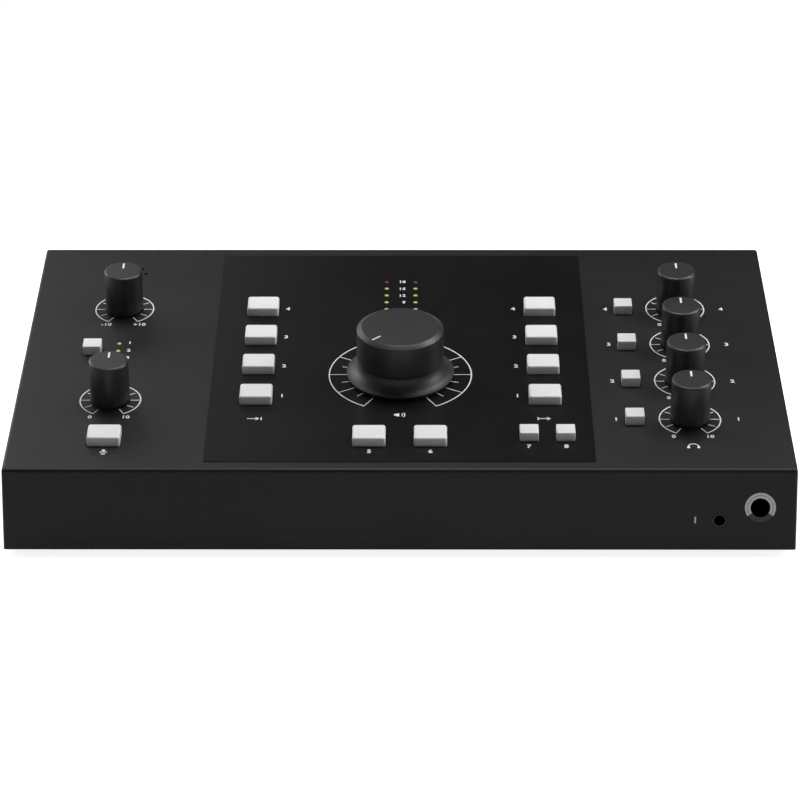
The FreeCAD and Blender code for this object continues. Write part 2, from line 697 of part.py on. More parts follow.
def make_small_knob(label, across, up):
    """Build a small knob and its shaft as two solids of one node."""
    body = new_body(label + "_cap", on_panel(across, up))
    outline = new_sketch(body, label + "_outline", "XZ_Plane")
    draw_outline(outline, (
        ("shaft_radius", "small_bottom + small_well_depth"),
        ("small_well_radius", "small_bottom + small_well_depth"),
        ("small_well_radius", "small_bottom"),
        ("small_base_radius", "small_bottom"),
        ("small_radius", "small_top - small_bevel"),
        ("small_radius - small_bevel", "small_top"),
        ("0", "small_top"),
        ("0", "small_top - main_wall"),
        ("shaft_radius", "small_top - main_wall"),
    ))
    turn(body, outline)
    foot = on_panel(across, up, "-shaft_below")
    shaft = rod(label + "_shaft", "shaft_radius", "small_top - main_wall + shaft_below", foot)
    both = doc.addObject("Part::Compound", label + "_set")
    both.Links = [body, shaft]
    doc.recompute()
    keep(both, label)


def make_surround():
    """Build the fixed flared ring round the main knob."""
    body = new_body("flare", on_panel(*MAIN_DIAL))
    outline = new_sketch(body, "flare_outline", "XZ_Plane")
    draw_outline(outline, (
        ("surround_bore", "overlay_thick"),
        ("surround_foot", "overlay_thick"),
        ("surround_radius", "surround_rim"),
        ("surround_radius", "surround_top"),
        ("surround_bore", "surround_top"),
    ))
    turn(body, outline)
    hollow = new_sketch(body, "flare_hollow", "XZ_Plane")
    draw_circle(hollow, "flare_radius", "surround_radius + flare_out", "surround_top")
    groove(body, hollow)
    keep(body, "knob_surround")


# Buttons: a rounded cap on a square plunger that slides in the switch below


def make_button(label, across, up, width, depth):
    """Build one push button."""
    body = new_body(label + "_cap", on_panel(across, up))
    outline = new_sketch(body, label + "_outline", lift="-cap_skirt")
    draw_rectangle(outline, width, depth)
    cap = pad(body, outline, "cap_height + cap_skirt")
    top = size("cap_height")
    upright = Vector(0, 0, 1)

    def is_rounded(edge):
        return runs_along(edge, upright) or abs(edge.BoundBox.ZMin - top) < NEAR

    round_edges(body, cap, "cap_round", is_rounded)
    stem = new_sketch(body, label + "_stem", lift="-cap_skirt")
    draw_rectangle(stem, "stem_side", "stem_side")
    pad(body, stem, "stem_length - cap_skirt", down=True)
    keep(body, label)


def make_switch(name, side):
    """Build one switch body with the well that guides a plunger."""
    top = "(cap_skirt + cap_travel + switch_gap)"
    height = f"board_drop - {top}"
    body = new_body(name)
    outline = new_sketch(body, name + "_outline")
    draw_rectangle(outline, side, side)
    pad(body, outline, height)
    well = new_sketch(body, name + "_well", lift=height)
    draw_rectangle(well, "stem_side + 2 * stem_gap", "stem_side + 2 * stem_gap")
    pocket(body, well, f"stem_length + cap_travel + stem_end_gap - {top}")
    return body


def make_power_button():
    """Build the power button, its plunger and its switch."""
    across, up = POWER_BUTTON
    place = FreeCAD.Placement(
        Vector(size(across), size(REAR_FACE), size(up)),
        FACING_BACK,
    )
    body = new_body("power_cap", place)
    outline = new_sketch(body, "power_outline", lift="-rear_thick - power_back")
    draw_rectangle(outline, "power_side", "power_side")
    cap = pad(body, outline, "power_proud + rear_thick + power_back")
    top = size("power_proud")

    def is_rounded(edge):
        return runs_along(edge, Vector(0, 0, 1)) or abs(edge.BoundBox.ZMin - top) < NEAR

    round_edges(body, cap, "cap_round", is_rounded)
    stem = new_sketch(body, "power_stem", lift="-rear_thick - power_back")
    draw_rectangle(stem, "stem_side", "stem_side")
    pad(body, stem, "power_stem", down=True)
    keep(body, "power_button")

    switch = new_body("power_switch", place)
    outline = new_sketch(switch, "power_switch_outline", lift="-rear_thick")
    draw_rectangle(outline, "power_body_side", "power_body_side")
    pad(switch, outline, "power_depth", down=True)
    mouth = new_sketch(switch, "power_switch_mouth", lift="-rear_thick")
    draw_rectangle(mouth, "power_side + 2 * window_gap", "power_side + 2 * window_gap")
    pocket(switch, mouth, "power_back + power_travel + power_gap")
    well = new_sketch(switch, "power_switch_well", lift="-rear_thick")
    draw_rectangle(well, "stem_side + 2 * stem_gap", "stem_side + 2 * stem_gap")
    pocket(switch, well, "power_back + power_stem + power_travel + power_gap")
    keep(switch, "power_switch_body")


# Potentiometers, boards and what holds them


def make_pot(name, side, bush_top):
    """Build one potentiometer body with its threaded bush."""
    body = new_body(name)
    outline = new_sketch(body, name + "_outline", lift="-board_drop")
    draw_rectangle(outline, side, side)
    pad(body, outline, "board_drop - pot_top")
    bush = new_sketch(body, name + "_bush", lift="-pot_top")
    draw_circle(bush, "bush_radius")
    pad(body, bush, f"{bush_top} + pot_top")
    bore = new_sketch(body, name + "_bore", lift=bush_top)
    draw_circle(bore, "shaft_radius + shaft_gap")
    pocket(body, bore, f"{bush_top} + shaft_below + shaft_end_gap")
    return body


def make_hexagon_nut(name, flats, thickness, bore):
    """Build one hexagon nut standing on its placement."""
    nut = doc.addObject("Part::Prism", name + "_blank")
    nut.Polygon = 6
    nut.setExpression("Circumradius", bound(f"{flats} / sqrt(3)"))
    nut.setExpression("Height", bound(thickness))
    hole = rod(name + "_hole", bore, thickness, FreeCAD.Placement())
    return cut(name, nut, hole)


def make_pots():
    """Build the potentiometers and their nuts."""
    dials = list(SMALL_DIALS.values())
    group("small_pot_bodies", make_pot("small_pot", "small_pot_side", "small_bush_top"), [
        on_panel(across, up) for across, up in dials
    ])
    main_pot = make_pot("main_pot", "main_pot_side", "main_bush_top")
    main_pot.Placement = on_panel(*MAIN_DIAL)
    keep(main_pot, "main_pot_body")
    nut = make_hexagon_nut("pot_nut", "nut_flats", "nut_thick", "bush_radius")
    group("pot_nuts", nut, [on_panel(across, up) for across, up in (MAIN_DIAL, *dials)])


BOARD_REAR = "(panel_length - board_rear_inset)"
POST_REAR = f"{BOARD_REAR} - post_end_inset"
BOARD_POSTS = [("0", "dial_up - post_below_dial"), ("0", POST_REAR)]
for side in (-1, 1):
    BOARD_POSTS += [
        (f"{side} * (case_width / 2 - post_side_inset)", "board_front + post_end_inset"),
        (f"{side} * (case_width / 2 - post_side_inset)", POST_REAR),
        (f"{side} * post_inner_across", "dial_up + post_inner_above"),
    ]


def make_control_board():
    """Build the board that carries the switches, lamps and potentiometers."""
    body = new_body("control", PANEL)
    outline = new_sketch(body, "control_outline", lift="-board_drop")
    left, right = "board_left_inset - case_width / 2", "case_width / 2 - board_right_inset"
    draw_outline(outline, (
        (left, "board_front"), (right, "board_front"), (right, BOARD_REAR), (left, BOARD_REAR),
    ))
    pad(body, outline, "board_thick", down=True)
    holes = new_sketch(body, "control_holes", lift="-board_drop")
    for across, up in BOARD_POSTS:
        draw_circle(holes, "screw_radius + screw_gap", across, up)
    pocket(body, holes, "2 * board_thick")
    keep(body, "control_board")


def make_tube(name, radius, bore, height):
    """Build one round tube standing on its placement."""
    outside = rod(name + "_outside", radius, height, FreeCAD.Placement())
    inside = rod(name + "_inside", bore, height, FreeCAD.Placement())
    return cut(name, outside, inside)


def make_screw(name):
    """Build one pan-head screw: its shank up from its placement, its head down from it."""
    head = rod(name + "_head", "screw_head_radius", "screw_head_thick", at("0", "0", "-screw_head_thick"))
    shank = rod(name + "_shank", "screw_radius", "screw_length", FreeCAD.Placement())
    return fuse(name, head, shank)


FEET = [
    (f"{side} * (case_width / 2 - foot_inset)", f"{end} * ({CASE_DEPTH} / 2 - foot_inset)")
    for side in (-1, 1)
    for end in (-1, 1)
]
BLOCK_ACROSS = "(case_width / 2 - sheet_thick - block_side / 2)"
BASE_SCREWS = [
    (f"{side} * {BLOCK_ACROSS}", along)
    for side in (-1, 1)
    for along in (f"{FRONT_FACE} + base_screw_front", "base_screw_middle", f"{REAR_FACE} - base_screw_rear")
]
AUDIO_WIDTH = "(case_width - 2 * audio_side_inset)"
AUDIO_FRONT = f"({FRONT_FACE} + audio_front)"
AUDIO_REAR = f"({REAR_EDGE} - audio_rear_inset)"
AUDIO_POSTS = [
    (f"{side} * ({AUDIO_WIDTH} / 2 - audio_post_inset)", edge)
    for side in (-1, 1)
    for edge in (f"{AUDIO_FRONT} + audio_post_inset", f"{AUDIO_REAR} - audio_post_inset")
]
BASE_TOP = "(foot_height + sheet_thick)"
AUDIO_UNDER = f"({BASE_TOP} + audio_lift)"
REAR_BLOCK_LOW = f"({BASE_TOP} + block_side / 2)"
REAR_BLOCK_HIGH = f"({REAR_TOP} - rear_screw_drop)"
REAR_SCREWS = [
    (f"{side} * {BLOCK_ACROSS}", height)
    for side in (-1, 1)
    for height in (REAR_BLOCK_LOW, REAR_BLOCK_HIGH)
]


def make_fasteners_and_boards():
    """Build posts, screws, blocks, feet and the lower board."""
    control_posts = make_tube("control_post", "post_radius", "post_bore", "board_drop - sheet_thick")
    group("control_board_posts", control_posts, [
        on_panel(across, up, "-board_drop") for across, up in BOARD_POSTS
    ])
    audio_posts = make_tube("audio_post", "post_radius", "post_bore", "audio_lift")
    group("audio_board_posts", audio_posts, [at(x, y, BASE_TOP) for x, y in AUDIO_POSTS])

    board = new_body("audio")
    outline = new_sketch(board, "audio_outline", lift=AUDIO_UNDER)
    middle = f"({AUDIO_REAR} + {AUDIO_FRONT}) / 2"
    draw_rectangle(outline, AUDIO_WIDTH, f"{AUDIO_REAR} - {AUDIO_FRONT}", y=middle)
    pad(board, outline, "board_thick")
    holes = new_sketch(board, "audio_holes", lift=f"{AUDIO_UNDER} + board_thick")
    for x, y in AUDIO_POSTS:
        draw_circle(holes, "screw_radius + screw_gap", x, y)
    pocket(board, holes, "2 * board_thick")
    keep(board, "audio_board")

    screw = make_screw("screw")
    head_down = FreeCAD.Rotation(Vector(1, 0, 0), 180)
    board_screws = [on_panel(across, up, "-board_drop - board_thick") for across, up in BOARD_POSTS]
    for x, y in AUDIO_POSTS:
        seat = at(x, y, f"{AUDIO_UNDER} + board_thick").Base
        board_screws.append(FreeCAD.Placement(seat, head_down))
    group("board_screws", screw, board_screws)
    case_screws = [at(x, y, "foot_height") for x, y in BASE_SCREWS]
    shank_forward = FreeCAD.Rotation(Vector(1, 0, 0), 90)
    for x, z in REAR_SCREWS:
        case_screws.append(FreeCAD.Placement(Vector(size(x), size(REAR_FACE), size(z)), shank_forward))
    group("case_screws", screw, case_screws)

    corner = block("corner", "block_side", "block_side", "block_side", FreeCAD.Placement())
    bored = cut("corner_block", corner, rod("corner_bore", "post_bore", "block_side", FreeCAD.Placement()))
    blocks = [at(x, y, BASE_TOP) for x, y in BASE_SCREWS]
    for x, z in REAR_SCREWS:
        seat = Vector(size(x), size(f"{REAR_FACE} - rear_thick"), size(z))
        blocks.append(FreeCAD.Placement(seat, shank_forward))
    group("corner_blocks", bored, blocks)

    foot = new_body("foot")
    outline = new_sketch(foot, "foot_outline", "XZ_Plane")
    draw_outline(outline, (
        ("screw_radius + screw_gap", "foot_height"),
        ("screw_radius + screw_gap", "foot_height - foot_seat"),
        ("screw_head_radius + foot_head_gap", "foot_height - foot_seat"),
        ("screw_head_radius + foot_head_gap", "0"),
        ("foot_radius - foot_taper", "0"),
        ("foot_radius", "foot_height"),
    ))
    turn(foot, outline)
    group("rubber_feet", foot, [at(x, y, "0") for x, y in FEET])
    head_place = at("0", "0", "foot_seat")
    foot_head = rod("foot_screw_head", "screw_head_radius", "foot_height - 2 * foot_seat", head_place)
    shank_place = at("0", "0", "foot_height - foot_seat")
    shank_length = "foot_seat + sheet_thick + foot_screw_end"
    foot_shank = rod("foot_screw_shank", "screw_radius", shank_length, shank_place)
    group("foot_screws", fuse("foot_screw", foot_head, foot_shank), [at(x, y, "0") for x, y in FEET])


def make_lamps_and_microphone():
    """Build the indicator lamps and the talk microphone."""
    def lamp(name, proud):
        body = new_body(name)
        outline = new_sketch(body, name + "_outline", lift="-board_drop")
        draw_circle(outline, "lamp_radius")
        rounded = pad(body, outline, f"board_drop + {proud}")
        top = size(proud)
        round_edges(body, rounded, "lamp_round", lambda edge: abs(edge.BoundBox.ZMin - top) < NEAR)
        return body

    meter_lamp = lamp("meter_lamp", "overlay_thick + lamp_proud")
    group("green_meter_lamps", meter_lamp, [on_panel(*place) for place in GREEN_METER_LAMPS])
    group("red_meter_lamps", meter_lamp, [on_panel(*place) for place in RED_METER_LAMPS])
    group("select_lamps", lamp("select_lamp", "lamp_proud"), [on_panel(*place) for place in SELECT_LAMPS])
    capsule_foot = on_panel(LEFT_DIALS, MIC_UP, "-sheet_thick - mic_depth")
    keep(rod("capsule", "mic_radius", "mic_depth", capsule_foot), "talk_microphone")


# Sockets


def facing_front(across, up, depth="0"):
    """Return the placement of a socket whose mouth looks out of the front face."""
    place = Vector(size(across), size(f"{FRONT_FACE} + {depth}"), size(up))
    return FreeCAD.Placement(place, FreeCAD.Rotation(Vector(1, 0, 0), 90))


def facing_rear(across, up):
    """Return the placement of a socket whose mouth looks out of the rear panel."""
    return FreeCAD.Placement(Vector(size(across), size(REAR_FACE), size(up)), FACING_BACK)


def make_socket(name, body_side, sleeve, bore, depth, behind, proud):
    """Build a socket: a square body behind the sheet, a sleeve through it and one bore."""
    body = new_body(name)
    outline = new_sketch(body, name + "_outline", lift=f"-({behind})")
    draw_rectangle(outline, body_side, body_side)
    pad(body, outline, f"{depth} + jack_back", down=True)
    tube = new_sketch(body, name + "_sleeve", lift=f"-({behind})")
    draw_circle(tube, sleeve)
    pad(body, tube, f"{proud} + {behind}")
    mouth = new_sketch(body, name + "_bore", lift=proud)
    draw_circle(mouth, bore)
    pocket(body, mouth, f"{proud} + {behind} + {depth}")
    return body


def make_front_sockets():
    """Build the two headphone sockets of the front face."""
    large = make_socket(
        "front_jack", "jack_body_side", "jack_sleeve", "jack_bore", "front_jack_depth",
        "sheet_thick", "jack_proud / 2",
    )
    large.Placement = facing_front(*FRONT_JACK)
    keep(large, "headphone_socket")
    ring = make_tube("front_ring", "jack_ring", "jack_sleeve", "sheet_thick + jack_proud")
    ring_place = facing_front(*FRONT_JACK, "sheet_thick")
    group("headphone_socket_ring", ring, [ring_place])
    small = make_socket(
        "mini_jack", "mini_body_side", "mini_ring", "mini_bore", "front_jack_depth",
        "sheet_thick", "jack_proud / 2",
    )
    small.Placement = facing_front(*MINI_JACK)
    keep(small, "small_headphone_socket")


def make_rear_sockets():
    """Build the rows of large sockets, the phono, optical and power sockets."""
    jack = make_socket(
        "rear_jack", "jack_body_side", "rear_bush_radius", "jack_bore", "rear_jack_depth",
        "rear_thick", "rear_bush_proud",
    )
    group("rear_sockets", jack, [facing_rear(*place) for place in REAR_JACKS])
    nut = make_hexagon_nut("rear_nut", "rear_nut_flats", "rear_nut_thick", "rear_bush_radius")
    group("rear_socket_nuts", nut, [facing_rear(*place) for place in REAR_JACKS])

    phono = make_socket(
        "phono", "jack_body_side", "phono_radius", "phono_bore", "phono_depth",
        "rear_thick", "rear_bush_proud",
    )
    pin_outline = new_sketch(phono, "phono_pin_outline", lift="-rear_thick - phono_depth")
    draw_circle(pin_outline, "phono_pin")
    pad(phono, pin_outline, "phono_depth + rear_thick")
    group("phono_sockets", phono, [facing_rear(*place) for place in PHONO_SOCKETS])

    optical = new_body("optical", facing_rear(*OPTICAL_SOCKET))
    outline = new_sketch(optical, "optical_outline", lift="-rear_jack_depth")
    draw_rectangle(outline, "optical_width", "optical_height")
    pad(optical, outline, "rear_jack_depth + moulding_proud")
    mouth = new_sketch(optical, "optical_mouth", lift="moulding_proud")
    draw_rectangle(mouth, "optical_opening", "optical_opening")
    pocket(optical, mouth, "optical_depth")
    keep(optical, "optical_socket")

    inlet = new_body("inlet", facing_rear(*POWER_INLET))
    outline = new_sketch(inlet, "inlet_outline", lift="-rear_jack_depth")
    draw_rectangle(outline, "inlet_width", "inlet_height")
    pad(inlet, outline, "rear_jack_depth + moulding_proud")
    mouth = new_sketch(inlet, "inlet_mouth", lift="moulding_proud")
    draw_circle(mouth, "inlet_bore")
    pocket(inlet, mouth, "inlet_depth")
    pin_outline = new_sketch(inlet, "inlet_pin_outline", lift="moulding_proud - inlet_depth")
    draw_circle(pin_outline, "inlet_pin")
    pad(inlet, pin_outline, "inlet_depth - inlet_pin_drop")
    keep(inlet, "power_inlet")


def make_ribbon():
    """Build the ribbon cable that bows forward between the two boards."""
    low = size(f"{AUDIO_UNDER} + board_thick")
    along = size(f"{FRONT_FACE} + ribbon_place")
    under_board = PANEL.multVec(Vector(0, 0, size("-board_drop - board_thick")))
    slope = math.tan(math.radians(size("slope_angle")))
    thick, bow = size("ribbon_thick"), size("ribbon_bow")

    def underside(y):
        return under_board.z + (y - under_board.y) * slope

    def bowed(start, reach):
        ends = Vector(0, start, low), Vector(0, start, underside(start))
        return ends[0], Vector(0, start - reach, (ends[0].z + ends[1].z) / 2), ends[1]

    near = bowed(along, bow)
    far = bowed(along + thick, bow)
    edges = [
        Part.Arc(*near).toShape(),
        Part.LineSegment(near[2], far[2]).toShape(),
        Part.Arc(*reversed(far)).toShape(),
        Part.LineSegment(far[0], near[0]).toShape(),
    ]
    face = Part.Face(Part.Wire(edges))
    solid = face.extrude(Vector(size("ribbon_width"), 0, 0))
    feature = doc.addObject("Part::Feature", "ribbon")
    feature.Shape = solid
    feature.Placement = at("-ribbon_width / 2", "0", "0")
    keep(feature, "ribbon_cable")


def make_everything():
    """Build every sub-part in turn."""
    make_top_cover()
    make_base_plate()
    make_rear_panel()
    make_overlay()
    make_main_knob()
    for label, (across, up) in SMALL_DIALS.items():
        make_small_knob(label, across, up)
    make_surround()
    for label, (across, up) in LARGE_BUTTONS.items():
        make_button(label, across, up, "large_cap_width", "large_cap_depth")
    for label, (across, up) in SMALL_BUTTONS.items():
        make_button(label, across, up, "small_cap_width", "small_cap_depth")
    large_switch = make_switch("large_switch", "large_switch_side")
    group("large_switch_bodies", large_switch, [
        on_panel(across, up, "-board_drop") for across, up in LARGE_BUTTONS.values()
    ])
    small_switch = make_switch("small_switch", "small_switch_side")
    group("small_switch_bodies", small_switch, [
        on_panel(across, up, "-board_drop") for across, up in SMALL_BUTTONS.values()
    ])
    make_power_button()
    make_pots()
    make_control_board()
    make_fasteners_and_boards()
    make_lamps_and_microphone()
    make_front_sockets()
    make_rear_sockets()
    make_ribbon()


def check_and_export():
    """Stop on any broken object, then write one file for each sub-part."""
    doc.recompute()
    for item in doc.Objects:
        if {"Invalid", "Error"} & set(item.State):
            raise RuntimeError(f"{item.Name} is {item.State}")
    os.makedirs("parts", exist_ok=True)
    for feature in labelled:
        shape = feature.Shape
        if shape.isNull() or not shape.isValid() or not shape.Solids:
            raise RuntimeError(f"{feature.Label} has no sound solid")
        shape.exportStep(f"parts/{feature.Label}.step")
    print(len(labelled), "sub-parts written")


make_everything()
check_and_export()
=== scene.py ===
"""Looks of a wedge-shaped studio monitor controller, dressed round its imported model.

The case is a folded steel cover in fine black powder coat with a smooth darker plate in
the middle. Every printed mark is a thin layer of ink standing on the panel.
Units are metres. The sloped panel has a frame of its own: across, up the slope, and height
square to its face.
"""
from __future__ import annotations

import json
import logging
import math
from dataclasses import dataclass, field
from enum import Enum

import bmesh
import bpy
from mathutils import Matrix, Vector


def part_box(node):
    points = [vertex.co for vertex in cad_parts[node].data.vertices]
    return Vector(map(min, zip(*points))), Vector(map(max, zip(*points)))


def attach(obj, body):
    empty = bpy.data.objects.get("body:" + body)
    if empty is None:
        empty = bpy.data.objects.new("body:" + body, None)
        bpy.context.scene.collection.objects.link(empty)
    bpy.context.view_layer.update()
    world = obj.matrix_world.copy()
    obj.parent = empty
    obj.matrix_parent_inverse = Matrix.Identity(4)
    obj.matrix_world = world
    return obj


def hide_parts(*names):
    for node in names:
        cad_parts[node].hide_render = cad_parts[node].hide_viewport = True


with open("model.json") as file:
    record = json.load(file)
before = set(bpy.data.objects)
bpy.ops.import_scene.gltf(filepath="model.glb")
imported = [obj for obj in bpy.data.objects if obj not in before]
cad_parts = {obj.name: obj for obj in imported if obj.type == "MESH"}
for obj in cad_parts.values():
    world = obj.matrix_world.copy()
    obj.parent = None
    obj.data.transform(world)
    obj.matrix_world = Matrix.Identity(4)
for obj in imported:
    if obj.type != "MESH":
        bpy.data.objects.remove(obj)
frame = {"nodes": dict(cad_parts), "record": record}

Point = tuple[float, float]
Triple = tuple[float, float, float]

LOG = logging.getLogger("monitor_controller")
MM = 0.001
ROOT = "root"
JOINTS = {joint["name"]: joint for joint in frame["record"]["behaviour"]["joints"]}
WELD = 1e-7
SHARP_ANGLE = math.radians(32)
FACING_FRONT = Matrix.Rotation(math.radians(90), 4, "X")


class Slot(Enum):
    """Names of the record's material slots."""

    CASE = "case_black"
    OVERLAY = "overlay_black"
    KNOB = "knob_black"
    SURROUND = "surround_black"
    CAP = "cap_white"
    LAMP_GREEN = "lamp_green"
    LAMP_RED = "lamp_red"
    RING = "grey_ring"
    METAL = "bright_metal"
    PLASTIC = "black_plastic"
    BOARD = "board_green"
    RIBBON = "ribbon_grey"
    RUBBER = "rubber"


class Align(Enum):
    """Which side of a number its place gives."""

    LEFT = "LEFT"
    CENTRE = "CENTER"
    RIGHT = "RIGHT"


def add_object(name: str, data: bpy.types.ID) -> bpy.types.Object:
    """Put new data into the scene as an object.

    Args:
        name: The object's name.
        data: Its mesh, text, lamp or camera.

    Returns:
        The new object.
    """
    made = bpy.data.objects.new(name, data)
    bpy.context.scene.collection.objects.link(made)
    return made


def add_node(
    tree: bpy.types.NodeTree,
    kind: str,
    settings: dict[str, object] | None = None,
    sockets: dict[object, object] | None = None,
) -> bpy.types.Node:
    """Add a node to a tree, set it up and connect it.

    Args:
        tree: The tree.
        kind: The node's type.
        settings: Its settings, such as an operation or a ramp's stops.
        sockets: Values or sockets for its inputs, by name or number.

    Returns:
        The new node.
    """
    made = tree.nodes.new(kind)
    for key, value in (settings or {}).items():
        if key == "stops":
            for stop, place in zip(made.color_ramp.elements, value):
                stop.position = place
        else:
            setattr(made, key, value)
    for key, value in (sockets or {}).items():
        if isinstance(value, bpy.types.NodeSocket):
            tree.links.new(value, made.inputs[key])
        else:
            made.inputs[key].default_value = value
    return made


class Channel:
    """A shader socket that works in Python expressions."""

    def __init__(self, builder: "Shader", socket: bpy.types.NodeSocket) -> None:
        """Hold a socket and the shader that it belongs to."""
        self.builder = builder
        self.socket = socket

    def _math(self, operation: str, first: object, second: object) -> "Channel":
        """Add one Math node.

        Args:
            operation: The Math node's operation.
            first: A number or a channel.
            second: A number or a channel.

        Returns:
            The node's result as a channel.
        """
        return self.builder.node("ShaderNodeMath", {"operation": operation}, {0: first, 1: second})

    def __add__(self, other: object) -> "Channel":
        """Add a number or a channel."""
        return self._math("ADD", self, other)

    def __radd__(self, other: object) -> "Channel":
        """Add to a number."""
        return self._math("ADD", other, self)

    def __sub__(self, other: object) -> "Channel":
        """Take away a number or a channel."""
        return self._math("SUBTRACT", self, other)

    def __rsub__(self, other: object) -> "Channel":
        """Take away from a number."""
        return self._math("SUBTRACT", other, self)

    def __mul__(self, other: object) -> "Channel":
        """Multiply by a number or a channel."""
        return self._math("MULTIPLY", self, other)

    def __rmul__(self, other: object) -> "Channel":
        """Multiply a number."""
        return self._math("MULTIPLY", other, self)


class Shader:
    """One node material, built from a Principled shader outwards."""

    def __init__(self, name: str) -> None:
        """Make an empty node material.

        Args:
            name: The material's name.
        """
        self.material = bpy.data.materials.new(name)
        self.material.use_nodes = True
        self.tree = self.material.node_tree
        self.tree.nodes.clear()

    def node(
        self,
        kind: str,
        settings: dict[str, object] | None = None,
        sockets: dict[object, object] | None = None,
        result: object = 0,
    ) -> Channel:
        """Return one output of a new node.

        Args:
            kind: The node's type.
            settings: Its settings, such as an operation or a ramp's stops.
            sockets: Values or channels for its sockets, by name or number.
            result: Name or number of the output.

        Returns:
            The output as a channel.
        """
        plain = {}
        for key, value in (sockets or {}).items():
            plain[key] = value.socket if isinstance(value, Channel) else value
        return Channel(self, add_node(self.tree, kind, settings, plain).outputs[result])

    def noise(self, size: float, detail: float = 3.0, roughness: float = 0.55) -> Channel:
        """Return noise in the object's own coordinates.

        Args:
            size: Size of its blotches in metres.
            detail: How many finer layers it has.
            roughness: How strong the finer layers are.

        Returns:
            The noise as a factor.
        """
        own = self.node("ShaderNodeTexCoord", result="Object")
        sockets = {"Vector": own, "Scale": 1.0 / size, "Detail": detail, "Roughness": roughness}
        return self.node("ShaderNodeTexNoise", {"noise_dimensions": "3D"}, sockets, "Fac")

    def ramp(self, factor: Channel, low: float, high: float) -> Channel:
        """Return a factor that rises from 0 at a low place to 1 at a high one."""
        return self.node("ShaderNodeValToRGB", {"stops": (low, high)}, {"Fac": factor})

    def mix(self, factor: object, first: object, second: object) -> Channel:
        """Return a blend of two colours."""
        settings = {"data_type": "RGBA", "blend_type": "MIX"}
        return self.node("ShaderNodeMix", settings, {0: factor, 6: first, 7: second}, 2)

    def bump(self, height: Channel, depth: float, strength: float = 1.0) -> Channel:
        """Return a normal raised by a height, at a depth in metres."""
        sockets = {"Height": height, "Distance": depth, "Strength": strength}
        return self.node("ShaderNodeBump", {}, sockets)

    def finish(self, **sockets: object) -> bpy.types.Material:
        """Close the material with a Principled shader.

        Args:
            sockets: Its values by socket name, with underscores for spaces.

        Returns:
            The finished material.
        """
        values = {key.replace("_", " "): value for key, value in sockets.items()}
        surface = self.node("ShaderNodeBsdfPrincipled", {}, values, "BSDF")
        add_node(self.tree, "ShaderNodeOutputMaterial", {}, {"Surface": surface.socket})
        return self.material


def grey(level: float) -> tuple[float, float, float, float]:
    """Return an even grey as a shader colour."""
    return (level, level, level, 1.0)


def shade(colour: Triple, share: float = 1.0) -> tuple[float, float, float, float]:
    """Return a colour as a shader colour, made darker or paler by a share."""
    return (*(part * share for part in colour), 1.0)


@dataclass(frozen=True)
class PowderCoat:
    """Fine-grained black powder coat on steel, a little paler where it is handled."""

    base: float = 0.006
    worn: float = 0.0095
    roughness: float = 0.46
    grain: float = 0.00055
    relief: float = 0.00003
    smudge: float = 0.045
    specular: float = 0.26

    def build(self, name: str) -> bpy.types.Material:
        """Build the finish.

        Args:
            name: The material's name.

        Returns:
            The finished material.
        """
        shader = Shader(name)
        grain = shader.noise(self.grain, 2.0)
        smudge = shader.ramp(shader.noise(self.smudge, 4.0), 0.35, 0.72)
        return shader.finish(
            Base_Color=shader.mix(smudge * 0.6 + grain * 0.3, grey(self.base), grey(self.worn)),
            Roughness=smudge * 0.07 + grain * 0.06 + (self.roughness - 0.05),
            Specular_IOR_Level=self.specular,
            Normal=shader.bump(grain, self.relief),
        )


@dataclass(frozen=True)
class SmoothPlate:
    """Smooth dark film plate with a faint haze."""

    base: float = 0.0045
    paler: float = 1.5
    roughness: float = 0.3
    specular: float = 0.2
    haze: float = 0.03
    weave: float = 0.0004

    def build(self, name: str) -> bpy.types.Material:
        """Build the finish.

        Args:
            name: The material's name.

        Returns:
            The finished material.
        """
        shader = Shader(name)
        haze = shader.noise(self.haze, 5.0)
        weave = shader.noise(self.weave, 1.0)
        return shader.finish(
            Base_Color=shader.mix(haze, grey(self.base), grey(self.base * self.paler)),
            Roughness=haze * 0.1 + (self.roughness - 0.05),
            Specular_IOR_Level=self.specular,
            Normal=shader.bump(weave, 0.00001, 0.6),
        )


@dataclass(frozen=True)
class MattePlastic:
    """Moulded plastic with an eroded fine grain."""

    base: Triple = (0.02, 0.02, 0.02)
    roughness: float = 0.42
    grain: float = 0.0004
    relief: float = 0.00001
    specular: float = 0.35
    cloud: float = 0.012
    darker: float = 0.86

    def build(self, name: str) -> bpy.types.Material:
        """Build the finish.

        Args:
            name: The material's name.

        Returns:
            The finished material.
        """
        shader = Shader(name)
        grain = shader.noise(self.grain, 2.0)
        cloud = shader.noise(self.cloud)
        return shader.finish(
            Base_Color=shader.mix(cloud, shade(self.base, self.darker), shade(self.base)),
            Roughness=grain * 0.08 + cloud * 0.06 + (self.roughness - 0.07),
            Specular_IOR_Level=self.specular,
            Normal=shader.bump(grain, self.relief),
        )


@dataclass(frozen=True)
class TurnedMetal:
    """Metal with turning marks and a light plating."""

    base: Triple = (0.5, 0.5, 0.5)
    roughness: float = 0.32
    metallic: float = 1.0
    marks: float = 0.0006
    stain: float = 0.006
    darker: float = 0.8

    def build(self, name: str) -> bpy.types.Material:
        """Build the finish.

        Args:
            name: The material's name.

        Returns:
            The finished material.
        """
        shader = Shader(name)
        marks = shader.noise(self.marks, 4.0, 0.7)
        stain = shader.noise(self.stain)
        return shader.finish(
            Base_Color=shader.mix(stain, shade(self.base, self.darker), shade(self.base)),
            Metallic=self.metallic,
            Roughness=marks * 0.14 + (self.roughness - 0.07),
            Normal=shader.bump(marks, 0.00001, 0.7),
        )


